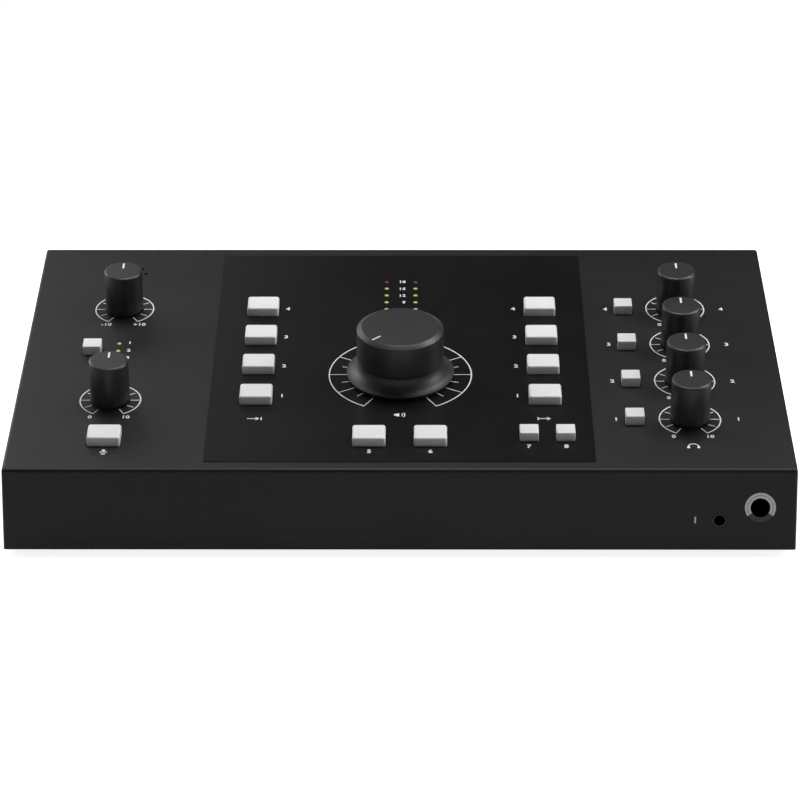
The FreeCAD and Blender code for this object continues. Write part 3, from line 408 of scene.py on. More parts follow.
@dataclass(frozen=True)
class LampLens:
    """Tinted lamp lens, lit from within and paler in its middle."""

    core: Triple
    rim: Triple
    cloud: float = 0.0006

    def build(self, name: str) -> bpy.types.Material:
        """Build the finish.

        Args:
            name: The material's name.

        Returns:
            The finished material.
        """
        shader = Shader(name)
        cloud = shader.noise(self.cloud, 2.0)
        middle = shader.node("ShaderNodeAttribute", {"attribute_name": "core"}, {}, "Fac")
        lit = shader.ramp(middle + cloud * 0.15, 0.25, 0.8)
        return shader.finish(
            Base_Color=shade(self.rim),
            Roughness=cloud * 0.1 + 0.2,
            Emission_Color=shader.mix(lit, shade(self.rim), shade(self.core)),
            Emission_Strength=1.0,
        )


@dataclass(frozen=True)
class Ink:
    """White screen-printed ink, slightly uneven."""

    base: float = 0.8
    blotch: float = 0.0007

    def build(self, name: str) -> bpy.types.Material:
        """Build the finish.

        Args:
            name: The material's name.

        Returns:
            The finished material.
        """
        shader = Shader(name)
        uneven = shader.noise(self.blotch)
        return shader.finish(
            Base_Color=shader.mix(uneven, grey(self.base * 0.9), grey(self.base)),
            Roughness=uneven * 0.1 + 0.5,
            Specular_IOR_Level=0.3,
        )


@dataclass(frozen=True)
class SolderMask:
    """Green circuit board with faint tracks under its lacquer."""

    base: Triple = (0.012, 0.075, 0.03)
    paler: float = 1.7
    track: float = 0.0023

    def build(self, name: str) -> bpy.types.Material:
        """Build the finish.

        Args:
            name: The material's name.

        Returns:
            The finished material.
        """
        shader = Shader(name)
        tracks = shader.ramp(shader.noise(self.track, 0.0), 0.48, 0.52)
        return shader.finish(
            Base_Color=shader.mix(tracks, shade(self.base), shade(self.base, self.paler)),
            Roughness=tracks * 0.1 + 0.3,
            Normal=shader.bump(tracks, 0.00003),
        )


class Finishes:
    """Every material of the object, built once."""

    def __init__(self) -> None:
        """Build every material."""
        self.case = PowderCoat().build("powder_coat")
        self.plate = SmoothPlate().build("smooth_plate")
        self.knob = self._plastic("knob_plastic", (0.0165, 0.0165, 0.0165), 0.4, 0.5)
        self.surround = self._plastic("flared_ring", (0.016, 0.016, 0.017), 0.44, 0.55)
        self.cap = self._plastic("white_cap", (0.84, 0.84, 0.825), 0.38, 0.45)
        self.ink = Ink().build("white_ink")
        self.green = LampLens((0.46, 0.55, 0.14), (0.03, 0.045, 0.008)).build("green_lens")
        self.red = LampLens((0.2, 0.006, 0.006), (0.02, 0.0015, 0.003)).build("red_lens")
        self.ring = self._plastic("grey_ring", (0.74, 0.74, 0.74), 0.4, 0.5)
        self.metal = TurnedMetal().build("plated_metal")
        self.plastic = self._plastic("black_plastic", (0.01, 0.01, 0.01), 0.4)
        # Painted reflection: the dark colour of the band in the headphone ring's lower opening.
        self.insert = self._plastic("painted_dark_reflection", (0.035, 0.035, 0.035), 0.45)
        self.board = SolderMask().build("circuit_board")
        self.ribbon = self._plastic("ribbon_grey", (0.3, 0.3, 0.32), 0.5)
        self.rubber = MattePlastic((0.012, 0.012, 0.012), 0.75, relief=0.00004).build("foot_rubber")

    @staticmethod
    def _plastic(name: str, base: Triple, roughness: float, specular: float = 0.35) -> bpy.types.Material:
        """Return one moulded plastic."""
        return MattePlastic(base, roughness, specular=specular).build(name)


def dress(node: str, material: bpy.types.Material) -> None:
    """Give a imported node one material.

    Args:
        node: The node's name.
        material: Its material.
    """
    mesh = frame["nodes"][node].data
    mesh.materials.clear()
    mesh.materials.append(material)


def add_piece(
    name: str,
    mesh: bpy.types.Mesh,
    material: bpy.types.Material,
    body: str,
    smooth: bool = True,
) -> bpy.types.Object:
    """Put a finished mesh into the scene as one piece.

    Args:
        name: The piece's name.
        mesh: Its mesh, already in place.
        material: Its material.
        body: The body that it rides on.
        smooth: Whether its faces are shaded smooth.

    Returns:
        The new object.
    """
    for polygon in mesh.polygons:
        polygon.use_smooth = smooth
    mesh.materials.clear()
    mesh.materials.append(material)
    piece = add_object(name, mesh)
    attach(piece, body)
    LOG.info("%s: %d faces on %s", name, len(mesh.polygons), body)
    return piece


def stand_in(
    node: str,
    mesh: bpy.types.Mesh,
    material: bpy.types.Material,
    body: str,
    sharp: bool = False,
) -> None:
    """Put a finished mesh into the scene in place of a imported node.

    Args:
        node: The node that it replaces.
        mesh: Its mesh, already in place.
        material: Its material.
        body: The body that it rides on.
        sharp: Whether its corners stay sharp.
    """
    piece = add_piece(node + "_shape", mesh, material, body)
    if sharp:
        mesh.set_sharp_from_angle(angle=SHARP_ANGLE)
    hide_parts(node)


def islands(node: str) -> list[tuple[Vector, Vector]]:
    """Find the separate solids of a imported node.

    Args:
        node: The node's name.

    Returns:
        The lowest and highest corner of each solid, in order of place.
    """
    shape = bmesh.new()
    shape.from_mesh(frame["nodes"][node].data)
    bmesh.ops.remove_doubles(shape, verts=shape.verts, dist=10 * WELD)
    left = set(shape.verts)
    result = []
    while left:
        queue = [left.pop()]
        found = []
        while queue:
            vertex = queue.pop()
            found.append(vertex.co.copy())
            for edge in vertex.link_edges:
                other = edge.other_vert(vertex)
                if other in left:
                    left.remove(other)
                    queue.append(other)
        result.append((Vector(map(min, zip(*found))), Vector(map(max, zip(*found)))))
    shape.free()
    return sorted(result, key=lambda corners: [round(value, 5) for value in corners[0]])


@dataclass
class Panel:
    """The sloped panel's own frame, taken from the dials' joints."""

    dial_up: float = 62.4 * MM
    plate_thick: float = 0.2 * MM
    plate_half_width: float = 65.35 * MM
    across: Vector = field(default_factory=lambda: Vector((1.0, 0.0, 0.0)))

    def __post_init__(self) -> None:
        """Work out the slope and the panel's origin."""
        dial = JOINTS["main_knob_turn"]
        self.normal = -Vector(dial["axis"]).normalized()
        self.up = self.normal.cross(self.across)
        self.origin = Vector(dial["pos_m"]) - self.up * self.dial_up
        self.slope = math.atan2(self.up.z, self.up.y)

    def matrix(self, across: float, up: float, height: float = 0.0) -> Matrix:
        """Work out the frame of a point of the panel, its Z square to the panel.

        Args:
            across: Place across the panel.
            up: Place up the slope.
            height: Height above the face.

        Returns:
            The point's frame.
        """
        place = self.origin + self.across * across + self.up * up + self.normal * height
        axes = Matrix((self.across, self.up, self.normal)).transposed()
        return Matrix.Translation(place) @ axes.to_4x4()

    def extent(self, node: str) -> tuple[Vector, Vector]:
        """Measure a node in the panel's own frame.

        Args:
            node: The node's name.

        Returns:
            Its lowest and highest corner.
        """
        into = self.matrix(0.0, 0.0).inverted()
        points = [into @ vertex.co for vertex in frame["nodes"][node].data.vertices]
        return Vector(map(min, zip(*points))), Vector(map(max, zip(*points)))

    def surface(self, across: float) -> float:
        """Return the height of the printed surface at a place across the panel."""
        return self.plate_thick if abs(across) < self.plate_half_width else 0.0

    def printed(self, across: float, up: float) -> Matrix:
        """Return the frame of a printed mark, its place given in millimetres."""
        return self.matrix(across * MM, up * MM, self.surface(across * MM))

    def dial(self, joint: str) -> Point:
        """Return a dial's place across and up the slope, from its joint."""
        offset = Vector(JOINTS[joint]["pos_m"]) - self.origin
        return offset.dot(self.across), offset.dot(self.up)


class Geometry:
    """A Geometry Nodes tree that makes one repeated form, then becomes a plain mesh."""

    def __init__(self, name: str, inputs: dict[str, tuple[str, object]]) -> None:
        """Make a tree with named inputs.

        Args:
            name: The tree's name.
            inputs: Socket type and value of each input, by name.
        """
        self.tree = bpy.data.node_groups.new(name, "GeometryNodeTree")
        self.tree.interface.new_socket("Geometry", in_out="OUTPUT", socket_type="NodeSocketGeometry")
        self.values = {}
        for label, (kind, value) in inputs.items():
            socket = self.tree.interface.new_socket(label, in_out="INPUT", socket_type=kind)
            self.values[socket.identifier] = value
        self.inputs = self.tree.nodes.new("NodeGroupInput")

    def input(self, label: str) -> bpy.types.NodeSocket:
        """Return one of the tree's own inputs."""
        return self.inputs.outputs[label]

    def node(
        self,
        kind: str,
        settings: dict[str, object] | None = None,
        sockets: dict[object, object] | None = None,
        result: object = 0,
    ) -> bpy.types.NodeSocket:
        """Return one output of a new node.

        Args:
            kind: The node's type.
            settings: Its settings.
            sockets: Values or sockets for its inputs.
            result: Name or number of the output.

        Returns:
            The output.
        """
        return add_node(self.tree, kind, settings, sockets).outputs[result]

    def math(self, operation: str, first: object, second: object = 0.0) -> bpy.types.NodeSocket:
        """Return one sum of numbers or sockets."""
        return self.node("ShaderNodeMath", {"operation": operation}, {0: first, 1: second})

    def mesh(self, geometry: bpy.types.NodeSocket, material: bpy.types.Material) -> bpy.types.Mesh:
        """Close the tree and return what it makes as a plain mesh.

        Args:
            geometry: The last geometry of the tree.
            material: The material that it gets.

        Returns:
            A mesh with no modifier left.
        """
        solid = self.node("GeometryNodeRealizeInstances", {}, {0: geometry})
        dressed = self.node("GeometryNodeSetMaterial", {}, {"Geometry": solid, "Material": material})
        add_node(self.tree, "NodeGroupOutput", {}, {0: dressed})
        start = bpy.data.meshes.new(self.tree.name)
        return shaped(start, [("NODES", {"node_group": self.tree}, self.values)])


@dataclass
class Repeats:
    """One small piece set down at many places."""

    name: str
    piece: bpy.types.Mesh
    places: list[Vector]
    turn: Triple = (0.0, 0.0, 0.0)

    def mesh(self, material: bpy.types.Material) -> bpy.types.Mesh:
        """Return every copy as one plain mesh.

        Args:
            material: The copies' material.

        Returns:
            The copies, turned and in place.
        """
        spots = bpy.data.meshes.new(self.name + "_places")
        spots.from_pydata(self.places, [], [])
        carriers = {
            label: add_object(self.name + label, data)
            for label, data in (("Places", spots), ("Piece", self.piece))
        }
        tree = Geometry(self.name, {
            "Places": ("NodeSocketObject", carriers["Places"]),
            "Piece": ("NodeSocketObject", carriers["Piece"]),
            "Turn": ("NodeSocketVector", self.turn),
        })
        forms = {
            label: tree.node("GeometryNodeObjectInfo", {}, {"Object": tree.input(label)}, "Geometry")
            for label in carriers
        }
        turned = tree.node("FunctionNodeEulerToRotation", {}, {0: tree.input("Turn")})
        copies = tree.node("GeometryNodeInstanceOnPoints", {}, {
            "Points": forms["Places"],
            "Instance": forms["Piece"],
            "Rotation": turned,
        })
        result = tree.mesh(copies, material)
        for carrier in carriers.values():
            bpy.data.objects.remove(carrier)
        return result


def shaped(data: bpy.types.ID, modifiers: list[tuple[str, dict, dict]]) -> bpy.types.Mesh:
    """Return a mesh or a text as a plain mesh, after modifiers have changed it.

    Args:
        data: The mesh, already in place, or the text.
        modifiers: The type, settings and node inputs of each modifier.

    Returns:
        A plain mesh with the changes made.
    """
    carrier = add_object("shaped", data)
    for kind, settings, inputs in modifiers:
        modifier = carrier.modifiers.new(kind, kind)
        for key, value in settings.items():
            setattr(modifier, key, value)
        for key, value in inputs.items():
            modifier[key] = value
    evaluated = carrier.evaluated_get(bpy.context.evaluated_depsgraph_get())
    result = bpy.data.meshes.new_from_object(evaluated)
    bpy.data.objects.remove(carrier)
    return result


def carved(mesh: bpy.types.Mesh, cutter: bpy.types.Mesh) -> bpy.types.Mesh:
    """Cut one mesh out of another.

    Args:
        mesh: The mesh that is cut.
        cutter: The mesh that is taken away.

    Returns:
        The mesh that is left.
    """
    tool = add_object("cutter", cutter)
    settings = {"operation": "DIFFERENCE", "solver": "EXACT", "object": tool}
    result = shaped(mesh, [("BOOLEAN", settings, {})])
    bpy.data.objects.remove(tool)
    return result


def block_mesh(low: Triple, high: Triple) -> bpy.types.Mesh:
    """Make a plain block, its upright and top edges marked to be rounded.

    Args:
        low: Its lowest corner.
        high: Its highest corner.

    Returns:
        The block's mesh.
    """
    shape = bmesh.new()
    middle = Vector(low).lerp(Vector(high), 0.5)
    scale = Matrix.Diagonal((*(Vector(high) - Vector(low)), 1.0))
    bmesh.ops.create_cube(shape, size=1.0, matrix=Matrix.Translation(middle) @ scale)
    weight = shape.edges.layers.float.new("bevel_weight_edge")
    for edge in shape.edges:
        edge[weight] = float(any(vertex.co.z > middle.z for vertex in edge.verts))
    result = bpy.data.meshes.new("block")
    shape.to_mesh(result)
    shape.free()
    return result


def join_meshes(name: str, meshes: list[bpy.types.Mesh]) -> bpy.types.Mesh:
    """Join meshes.

    Args:
        name: The joined mesh's name.
        meshes: The meshes.

    Returns:
        One mesh that holds all of them.
    """
    joined = bmesh.new()
    for mesh in meshes:
        joined.from_mesh(mesh)
    result = bpy.data.meshes.new(name)
    joined.to_mesh(result)
    joined.free()
    return result


def moved(mesh: bpy.types.Mesh, matrix: Matrix) -> bpy.types.Mesh:
    """Move a mesh's own points and return it."""
    mesh.transform(matrix)
    return mesh


def turned_mesh(name: str, profile: list[Point], steps: int = 128) -> bpy.types.Mesh:
    """Turn a profile round the Z axis.

    Args:
        name: The mesh's name.
        profile: Radius and height of each point, from the axis outwards and round.
        steps: How many steps make the full turn.

    Returns:
        A closed mesh whose faces point outwards.
    """
    shape = bmesh.new()
    points = [shape.verts.new((radius, 0.0, height)) for radius, height in profile]
    edges = [shape.edges.new(pair) for pair in zip(points, points[1:])]
    if profile[0][0] > 0.0 and profile[-1][0] > 0.0:
        edges.append(shape.edges.new((points[-1], points[0])))
    turn = {"axis": (0, 0, 1), "cent": (0, 0, 0), "angle": math.tau, "steps": steps}
    bmesh.ops.spin(shape, geom=points + edges, use_merge=True, **turn)
    bmesh.ops.remove_doubles(shape, verts=shape.verts, dist=WELD)
    bmesh.ops.recalc_face_normals(shape, faces=shape.faces)
    result = bpy.data.meshes.new(name)
    shape.to_mesh(result)
    shape.free()
    return result


def rounded_profile(profile: list[Triple], steps: int = 5) -> list[Point]:
    """Round the corners of a profile.

    Args:
        profile: Radius, height and corner radius of each point.
        steps: Points in each rounded corner.

    Returns:
        The profile with an arc in place of each corner that has a radius.
    """
    result = []
    count = len(profile)
    for index, (across, height, radius) in enumerate(profile):
        corner = Vector((across, height))
        if radius <= 0.0 or index in (0, count - 1):
            result.append((across, height))
            continue
        before = (Vector(profile[index - 1][:2]) - corner).normalized()
        after = (Vector(profile[index + 1][:2]) - corner).normalized()
        half = before.angle(after) / 2
        reach = radius / math.tan(half)
        middle = corner + (before + after).normalized() * (radius / math.sin(half))
        start, end = corner + before * reach - middle, corner + after * reach - middle
        sweep = start.angle_signed(end)
        for step in range(steps + 1):
            arm = start.copy()
            arm.rotate(Matrix.Rotation(-sweep * step / steps, 2))
            result.append(tuple(middle + arm))
    return result


def stroke(points: list[Point], width: float, thick: float, widest: float = 2.5) -> bpy.types.Mesh:
    """Draw a flat line of ink through points.

    Args:
        points: Places across and up.
        width: The line's width.
        thick: The ink's thickness.
        widest: The most that a sharp corner may widen the line, as a share of its width.

    Returns:
        A closed mesh that stands on height 0.
    """
    shape = bmesh.new()
    rows = []
    for index, point in enumerate(points):
        here = Vector(point)
        sides = []
        if index:
            sides.append((here - Vector(points[index - 1])).normalized())
        if index < len(points) - 1:
            sides.append((Vector(points[index + 1]) - here).normalized())
        along = sum(sides, Vector((0.0, 0.0))).normalized()
        square = Vector((-along.y, along.x)) * (width / 2 / max(abs(along.dot(sides[0])), 1 / widest))
        row = []
        for level in (0.0, thick):
            row += [shape.verts.new((*(here + square * side), level)) for side in (-1, 1)]
        rows.append(row)
    for one, two in zip(rows, rows[1:]):
        for first, second in ((0, 1), (1, 3), (3, 2), (2, 0)):
            shape.faces.new((one[first], one[second], two[second], two[first]))
    for row in (rows[0], rows[-1]):
        shape.faces.new((row[0], row[1], row[3], row[2]))
    bmesh.ops.recalc_face_normals(shape, faces=shape.faces)
    result = bpy.data.meshes.new("stroke")
    shape.to_mesh(result)
    shape.free()
    return result


def arc_points(middle: Point, radius: float, start: float, end: float, steps: int) -> list[Point]:
    """Set points along an arc, its angles in degrees clockwise from straight up.

    Args:
        middle: Its centre.
        radius: Its radius.
        start: Angle of its first point.
        end: Angle of its last point.
        steps: How many steps lead from one to the other.

    Returns:
        The arc's points.
    """
    result = []
    for step in range(steps + 1):
        angle = math.radians(start + (end - start) * step / steps)
        result.append((middle[0] + radius * math.sin(angle), middle[1] + radius * math.cos(angle)))
    return result


def in_metres(rows: list[tuple[float, ...]]) -> list[tuple[float, ...]]:
    """Return rows of millimetres in metres."""
    return [tuple(value * MM for value in row) for row in rows]


@dataclass
class DialScale:
    """A printed scale round one dial: ring, long and short ticks, and its two end lines."""

    name: str
    joint: str
    ring: float
    inner: float
    short_outer: float
    step: float
    ring_width: float = 0.42 * MM
    tick_width: float = 0.32 * MM
    ink_thick: float = 0.03 * MM
    reach: float = 150.0
    ring_steps: int = 120

    def _ticks(
        self, label: str, first: float, count: int, outer: float, ink: bpy.types.Material
    ) -> bpy.types.Mesh:
        """Repeat one tick round the dial, two steps apart.

        Args:
            label: The tree's name.
            first: Angle of the first tick in degrees, clockwise from straight up.
            count: How many ticks.
            outer: Radius of their outer ends.
            ink: Their material.

        Returns:
            The ticks as one mesh about the dial's centre.
        """
        tree = Geometry(label, {
            "Count": ("NodeSocketInt", count),
            "First Angle": ("NodeSocketFloat", math.radians(first)),
            "Angle Step": ("NodeSocketFloat", math.radians(2 * self.step)),
            "Inner Radius": ("NodeSocketFloat", self.inner),
            "Outer Radius": ("NodeSocketFloat", outer),
            "Width": ("NodeSocketFloat", self.tick_width),
            "Thickness": ("NodeSocketFloat", self.ink_thick),
        })
        inner_end, outer_end = tree.input("Inner Radius"), tree.input("Outer Radius")
        thick = tree.input("Thickness")
        turned_by = tree.math("MULTIPLY", tree.node("GeometryNodeInputIndex"), tree.input("Angle Step"))
        angle = tree.math("ADD", tree.input("First Angle"), turned_by)
        middle = tree.math("MULTIPLY", tree.math("ADD", inner_end, outer_end), 0.5)
        place = tree.node("ShaderNodeCombineXYZ", {}, {
            0: tree.math("MULTIPLY", middle, tree.math("SINE", angle)),
            1: tree.math("MULTIPLY", middle, tree.math("COSINE", angle)),
            2: tree.math("MULTIPLY", thick, 0.5),
        })
        points = tree.node("GeometryNodePoints", {}, {"Count": tree.input("Count"), "Position": place})
        size = tree.node("ShaderNodeCombineXYZ", {}, {
            0: tree.input("Width"),
            1: tree.math("SUBTRACT", outer_end, inner_end),
            2: thick,
        })
        facing = tree.node("ShaderNodeCombineXYZ", {}, {2: tree.math("MULTIPLY", angle, -1.0)})
        bars = tree.node("GeometryNodeInstanceOnPoints", {}, {
            "Points": points,
            "Instance": tree.node("GeometryNodeMeshCube", {}, {"Size": size}),
            "Rotation": tree.node("FunctionNodeEulerToRotation", {}, {0: facing}),
        })
        return tree.mesh(bars, ink)

    def build(self, panel: Panel, finishes: Finishes) -> None:
        """Print the scale on the panel.

        Args:
            panel: The panel's frame.
            finishes: The object's materials.
        """
        ink = finishes.ink
        count = round(self.reach / self.step)
        ring = arc_points((0.0, 0.0), self.ring, -self.reach, self.reach, self.ring_steps)
        parts = [
            self._ticks(self.name + "_long", -self.reach, count + 1, self.ring, ink),
            self._ticks(self.name + "_short", self.step - self.reach, count, self.short_outer, ink),
            stroke(ring, self.ring_width, self.ink_thick),
        ]
        across, up = panel.dial(self.joint)
        mesh = join_meshes(self.name, parts)
        moved(mesh, panel.matrix(across, up, panel.surface(across)))
        add_piece(self.name, mesh, ink, ROOT, smooth=False)


@dataclass
class Knob:
    """A turned knob with a printed pointer, in place of its plain solid."""

    node: str
    joint: str
    profile: list[Triple]
    top: float
    pointer: Point
    pointer_angle: float = 0.0
    pointer_width: float = 0.7 * MM
    ink_thick: float = 0.03 * MM
    shaft: bool = True
    shaft_radius: float = 2.98 * MM
    shaft_low: float = -6.5 * MM
    shaft_high: float = 8.0 * MM

    def build(self, panel: Panel, finishes: Finishes) -> None:
        """Build the knob, with its shaft where the node holds one, and its pointer.

        Args:
            panel: The panel's frame.
            finishes: The object's materials.
        """
        place = panel.matrix(*panel.dial(self.joint))
        parts = [turned_mesh(self.node + "_turned", rounded_profile(self.profile))]
        if self.shaft:
            low, high, radius = self.shaft_low, self.shaft_high, self.shaft_radius
            outline = [(0.0, low), (radius, low), (radius, high), (0.0, high)]
            parts.append(turned_mesh(self.node + "_shaft", outline, 32))
        mesh = moved(join_meshes(self.node + "_shape", parts), place)
        stand_in(self.node, mesh, finishes.knob, self.node, sharp=True)
        angle = math.radians(self.pointer_angle)
        ends = [(radius * math.sin(angle), radius * math.cos(angle)) for radius in self.pointer]
        line = stroke(ends, self.pointer_width, self.ink_thick)
        moved(line, place @ Matrix.Translation((0, 0, self.top)))
        add_piece(self.node + "_pointer", line, finishes.ink, self.node, smooth=False)


@dataclass
class FlaredRing:
    """The fixed ring round the main knob, with its hollow flare."""

    outer: float = 18.5 * MM
    foot: float = 17.9 * MM
    rim_low: float = 1.1 * MM
    rim_high: float = 1.75 * MM
    top: float = 6.7 * MM
    bore: float = 11.0 * MM
    curve: float = 5.0 * MM
    curve_out: float = 0.9 * MM
    seat: float = 0.2 * MM
    rim_step: float = 0.1 * MM
    rim_rise: float = 0.15 * MM
    flare_steps: int = 24

    def build(self, panel: Panel, finishes: Finishes) -> None:
        """Build the ring in place of its plain solid.

        Args:
            panel: The panel's frame.
            finishes: The object's materials.
        """
        middle = self.outer + self.curve_out
        flare = []
        last = math.asin(min((self.top - self.rim_high) / self.curve, 1.0))
        for step in range(self.flare_steps + 1):
            angle = last * (1 - step / self.flare_steps)
            flare.append((middle - self.curve * math.cos(angle), self.top - self.curve * math.sin(angle)))
        profile = [
            (self.bore, self.seat),
            (self.foot, self.seat),
            (self.outer - self.rim_step, self.rim_low),
            (self.outer, self.rim_low + self.rim_rise),
            *flare,
            (self.bore, self.top),
        ]
        place = panel.matrix(*panel.dial("main_knob_turn"))
        mesh = moved(turned_mesh("knob_surround_shape", profile, 160), place)
        stand_in("knob_surround", mesh, finishes.surround, ROOT, sharp=True)


@dataclass
class ButtonCap:
    """A softly rounded cap on its square plunger, in place of the plain button."""

    node: str
    height: float = 3.3 * MM
    skirt: float = 3.0 * MM
    rounding: float = 0.9 * MM
    small_width: float = 8.0 * MM
    small_rounding: float = 0.4 * MM
    segments: int = 6
    plunger_half: float = 1.6 * MM
    plunger_gap: float = 0.01 * MM

    def build(self, panel: Panel, finishes: Finishes) -> None:
        """Build the cap where its node stands.

        Args:
            panel: The panel's frame.
            finishes: The object's materials.
        """
        low, high = panel.extent(self.node)
        left, front, _ = (low + high) / 2 - Vector.Fill(3, self.plunger_half)
        right, back, _ = (low + high) / 2 + Vector.Fill(3, self.plunger_half)
        cap = block_mesh((low.x, low.y, -self.skirt), (high.x, high.y, self.height))
        plunger = block_mesh((left, front, low.z), (right, back, -self.skirt - self.plunger_gap))
        for item in plunger.attributes["bevel_weight_edge"].data:
            item.value = 0.0
        both = moved(join_meshes(self.node + "_shape", [cap, plunger]), panel.matrix(0.0, 0.0))
        rounding = self.small_rounding if high.x - low.x < self.small_width else self.rounding
        settings = {
            "width": rounding,
            "segments": self.segments,
            "limit_method": "WEIGHT",
            "harden_normals": True,
        }
        rounded = shaped(both, [("BEVEL", settings, {})])
        stand_in(self.node, rounded, finishes.cap, self.node)


@dataclass
class Lenses:
    """Small flush lamp lenses on their light pipes, in place of the plain lamps."""

    radius: float = 0.88 * MM
    crown: float = 0.05 * MM
    depth: float = 9.9 * MM
    meter_across: float = 5.2 * MM
    meter_top: float = 129.7 * MM
    meter_pitch: float = 5.11 * MM
    select_across: float = -99.35 * MM
    select_top: float = 84.5 * MM
    select_pitch: float = 5.2 * MM

    def _lens(self) -> bpy.types.Mesh:
        """Make one lens, its outer face at the origin.

        Returns:
            The lens, with an attribute that says how near its core each point is.
        """
        profile = [
            (0.0, -self.depth),
            (self.radius, -self.depth),
            (self.radius, -0.14 * MM),
            (self.radius * 0.93, -0.05 * MM),
            (self.radius * 0.62, -0.01 * MM),
            (0.0, 0.0),
        ]
        mesh = turned_mesh("lens", profile, 24)
        core = mesh.attributes.new("core", "FLOAT", "POINT")
        for vertex, item in zip(mesh.vertices, core.data):
            item.value = max(0.0, 1.0 - (math.hypot(vertex.co.x, vertex.co.y) / self.radius) ** 2)
        return mesh

    def build(self, panel: Panel, finishes: Finishes) -> None:
        """Set every lamp into the panel.

        Args:
            panel: The panel's frame.
            finishes: The object's materials.
        """
        rows = [self.meter_top - self.meter_pitch * row for row in range(5)]
        sides = (-self.meter_across, self.meter_across)
        height = panel.plate_thick + self.crown
        green = [(across, up, height) for across in sides for up in rows[1:]]
        red = [(across, rows[0], height) for across in sides]
        select_rows = [self.select_top - self.select_pitch * row for row in range(4)]
        select = [(self.select_across, up, self.crown) for up in select_rows]
        for node, spots, material, slot in (
            ("green_meter_lamps", green, finishes.green, Slot.LAMP_GREEN),
            ("red_meter_lamps", red, finishes.red, Slot.LAMP_RED),
            ("select_lamps", select, finishes.green, Slot.LAMP_GREEN),
        ):
            places = [panel.matrix(*spot).translation for spot in spots]
            copies = Repeats(node + "_shape", self._lens(), places, (panel.slope, 0.0, 0.0))
            stand_in(node, copies.mesh(material), material, ROOT)


@dataclass
class HeadphoneRing:
    """The open grey ring round the large front socket, with a dark band of painted reflection in its lower
    opening.
    """

    inner: float = 3.3 * MM
    outer: float = 5.15 * MM
    open_half: float = 56.0
    gap: float = 3.5
    groove: float = 0.16 * MM
    groove_depth: float = 0.16 * MM
    deep: float = 1.0 * MM

    def _band(self, inner: float, outer: float, half: float, turned: float, level: float) -> bpy.types.Mesh:
        """Return part of a flat ring.

        Args:
            inner: Its inner radius.
            outer: Its outer radius.
            half: Half of the angle that it covers, in degrees.
            turned: Where its middle lies, clockwise from straight up.
            level: Its face behind the ring's outer face.

        Returns:
            The band about the socket's axis.
        """
        middle = (inner + outer) / 2
        points = arc_points((0.0, 0.0), middle, turned - half, turned + half, max(int(half / 2), 8))
        band = stroke(points, outer - inner, self.deep - level)
        return moved(band, Matrix.Translation((0.0, 0.0, -self.deep)))

    def build(self, finishes: Finishes) -> None:
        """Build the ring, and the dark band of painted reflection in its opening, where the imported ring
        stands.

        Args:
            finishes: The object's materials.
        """
        low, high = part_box("headphone_socket_ring")
        middle = (low + high) / 2
        facing = Matrix.Translation((middle.x, low.y, middle.z)) @ FACING_FRONT
        split = (self.inner + self.outer) / 2
        half = 180.0 - self.open_half
        bands = [
            self._band(self.inner, split - self.groove / 2, half, 0.0, 0.0),
            self._band(split + self.groove / 2, self.outer, half, 0.0, 0.0),
            self._band(split - self.groove, split + self.groove, half, 0.0, self.groove_depth),
        ]
        ring = moved(join_meshes("headphone_ring_shape", bands), facing)
        piece = add_piece("headphone_ring_shape", ring, finishes.ring, ROOT, smooth=False)
        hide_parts("headphone_socket_ring")
        # Painted reflection: this dark band fills the ring's lower opening in place of the dark reflection
        # there.
        insert = moved(self._band(self.inner, self.outer, self.open_half - self.gap, 180.0, 0.0), facing)
        add_piece("headphone_ring_insert", insert, finishes.insert, ROOT, smooth=False)


@dataclass
class PanScrew:
    """A pan-head screw with a cross recess, standing head up on the seat of its head."""

    head_radius: float = 2.7 * MM
    head_height: float = 1.7 * MM
    shank_radius: float = 1.25 * MM
    shank: float = 6.0 * MM
    slot_width: float = 0.55 * MM
    slot_half: float = 1.35 * MM
    slot_depth: float = 0.95 * MM

    def mesh(self) -> bpy.types.Mesh:
        """Make the screw.

        Returns:
            The screw with its recess cut.
        """
        dome = [(1.0, 0.0), (1.0, 0.32), (0.93, 0.62), (0.74, 0.84), (0.44, 0.97), (0.0, 1.0)]
        head = [(self.head_radius * across, self.head_height * up) for across, up in dome]
        tip = [(0.0, -1.0), (0.75, -1.0), (1.0, -0.93), (1.0, 0.0)]
        shank = [(self.shank_radius * across, self.shank * up) for across, up in tip]
        result = turned_mesh("screw", [*shank, *head], 32)
        low, high = self.head_height - self.slot_depth, self.head_height * 1.2
        long, short = self.slot_half, self.slot_width / 2
        for across, up in ((long, short), (short, long)):
            result = carved(result, block_mesh((-across, -up, low), (across, up, high)))
        return result


@dataclass
class Screws:
    """The screws of the case and its feet, in place of the plain ones."""

    case: PanScrew = field(default_factory=PanScrew)
    foot: PanScrew = field(default_factory=lambda: PanScrew(head_height=1.3 * MM, shank=3.8 * MM))

    def build(self, finishes: Finishes) -> None:
        """Set every screw that shows.

        Args:
            finishes: The object's materials.
        """
        below, behind = [], []
        for low, high in islands("case_screws"):
            middle = (low + high) / 2
            if high.z - low.z > high.y - low.y:
                below.append(Vector((middle.x, middle.y, low.z + self.case.head_height)))
            else:
                behind.append(Vector((middle.x, high.y - self.case.head_height, middle.z)))
        feet = []
        for low, high in islands("foot_screws"):
            middle = (low + high) / 2
            feet.append(Vector((middle.x, middle.y, low.z + self.foot.head_height)))
        head_down, head_back = (math.pi, 0.0, 0.0), (-math.pi / 2, 0.0, 0.0)
        metal = finishes.metal
        case_meshes = [
            Repeats("base_screws", self.case.mesh(), below, head_down).mesh(metal),
            Repeats("rear_screws", self.case.mesh(), behind, head_back).mesh(metal),
        ]
        foot_meshes = [Repeats("foot_screws", self.foot.mesh(), feet, head_down).mesh(metal)]
        for node, meshes in (("case_screws", case_meshes), ("foot_screws", foot_meshes)):
            stand_in(node, join_meshes(node + "_shape", meshes), metal, ROOT, sharp=True)


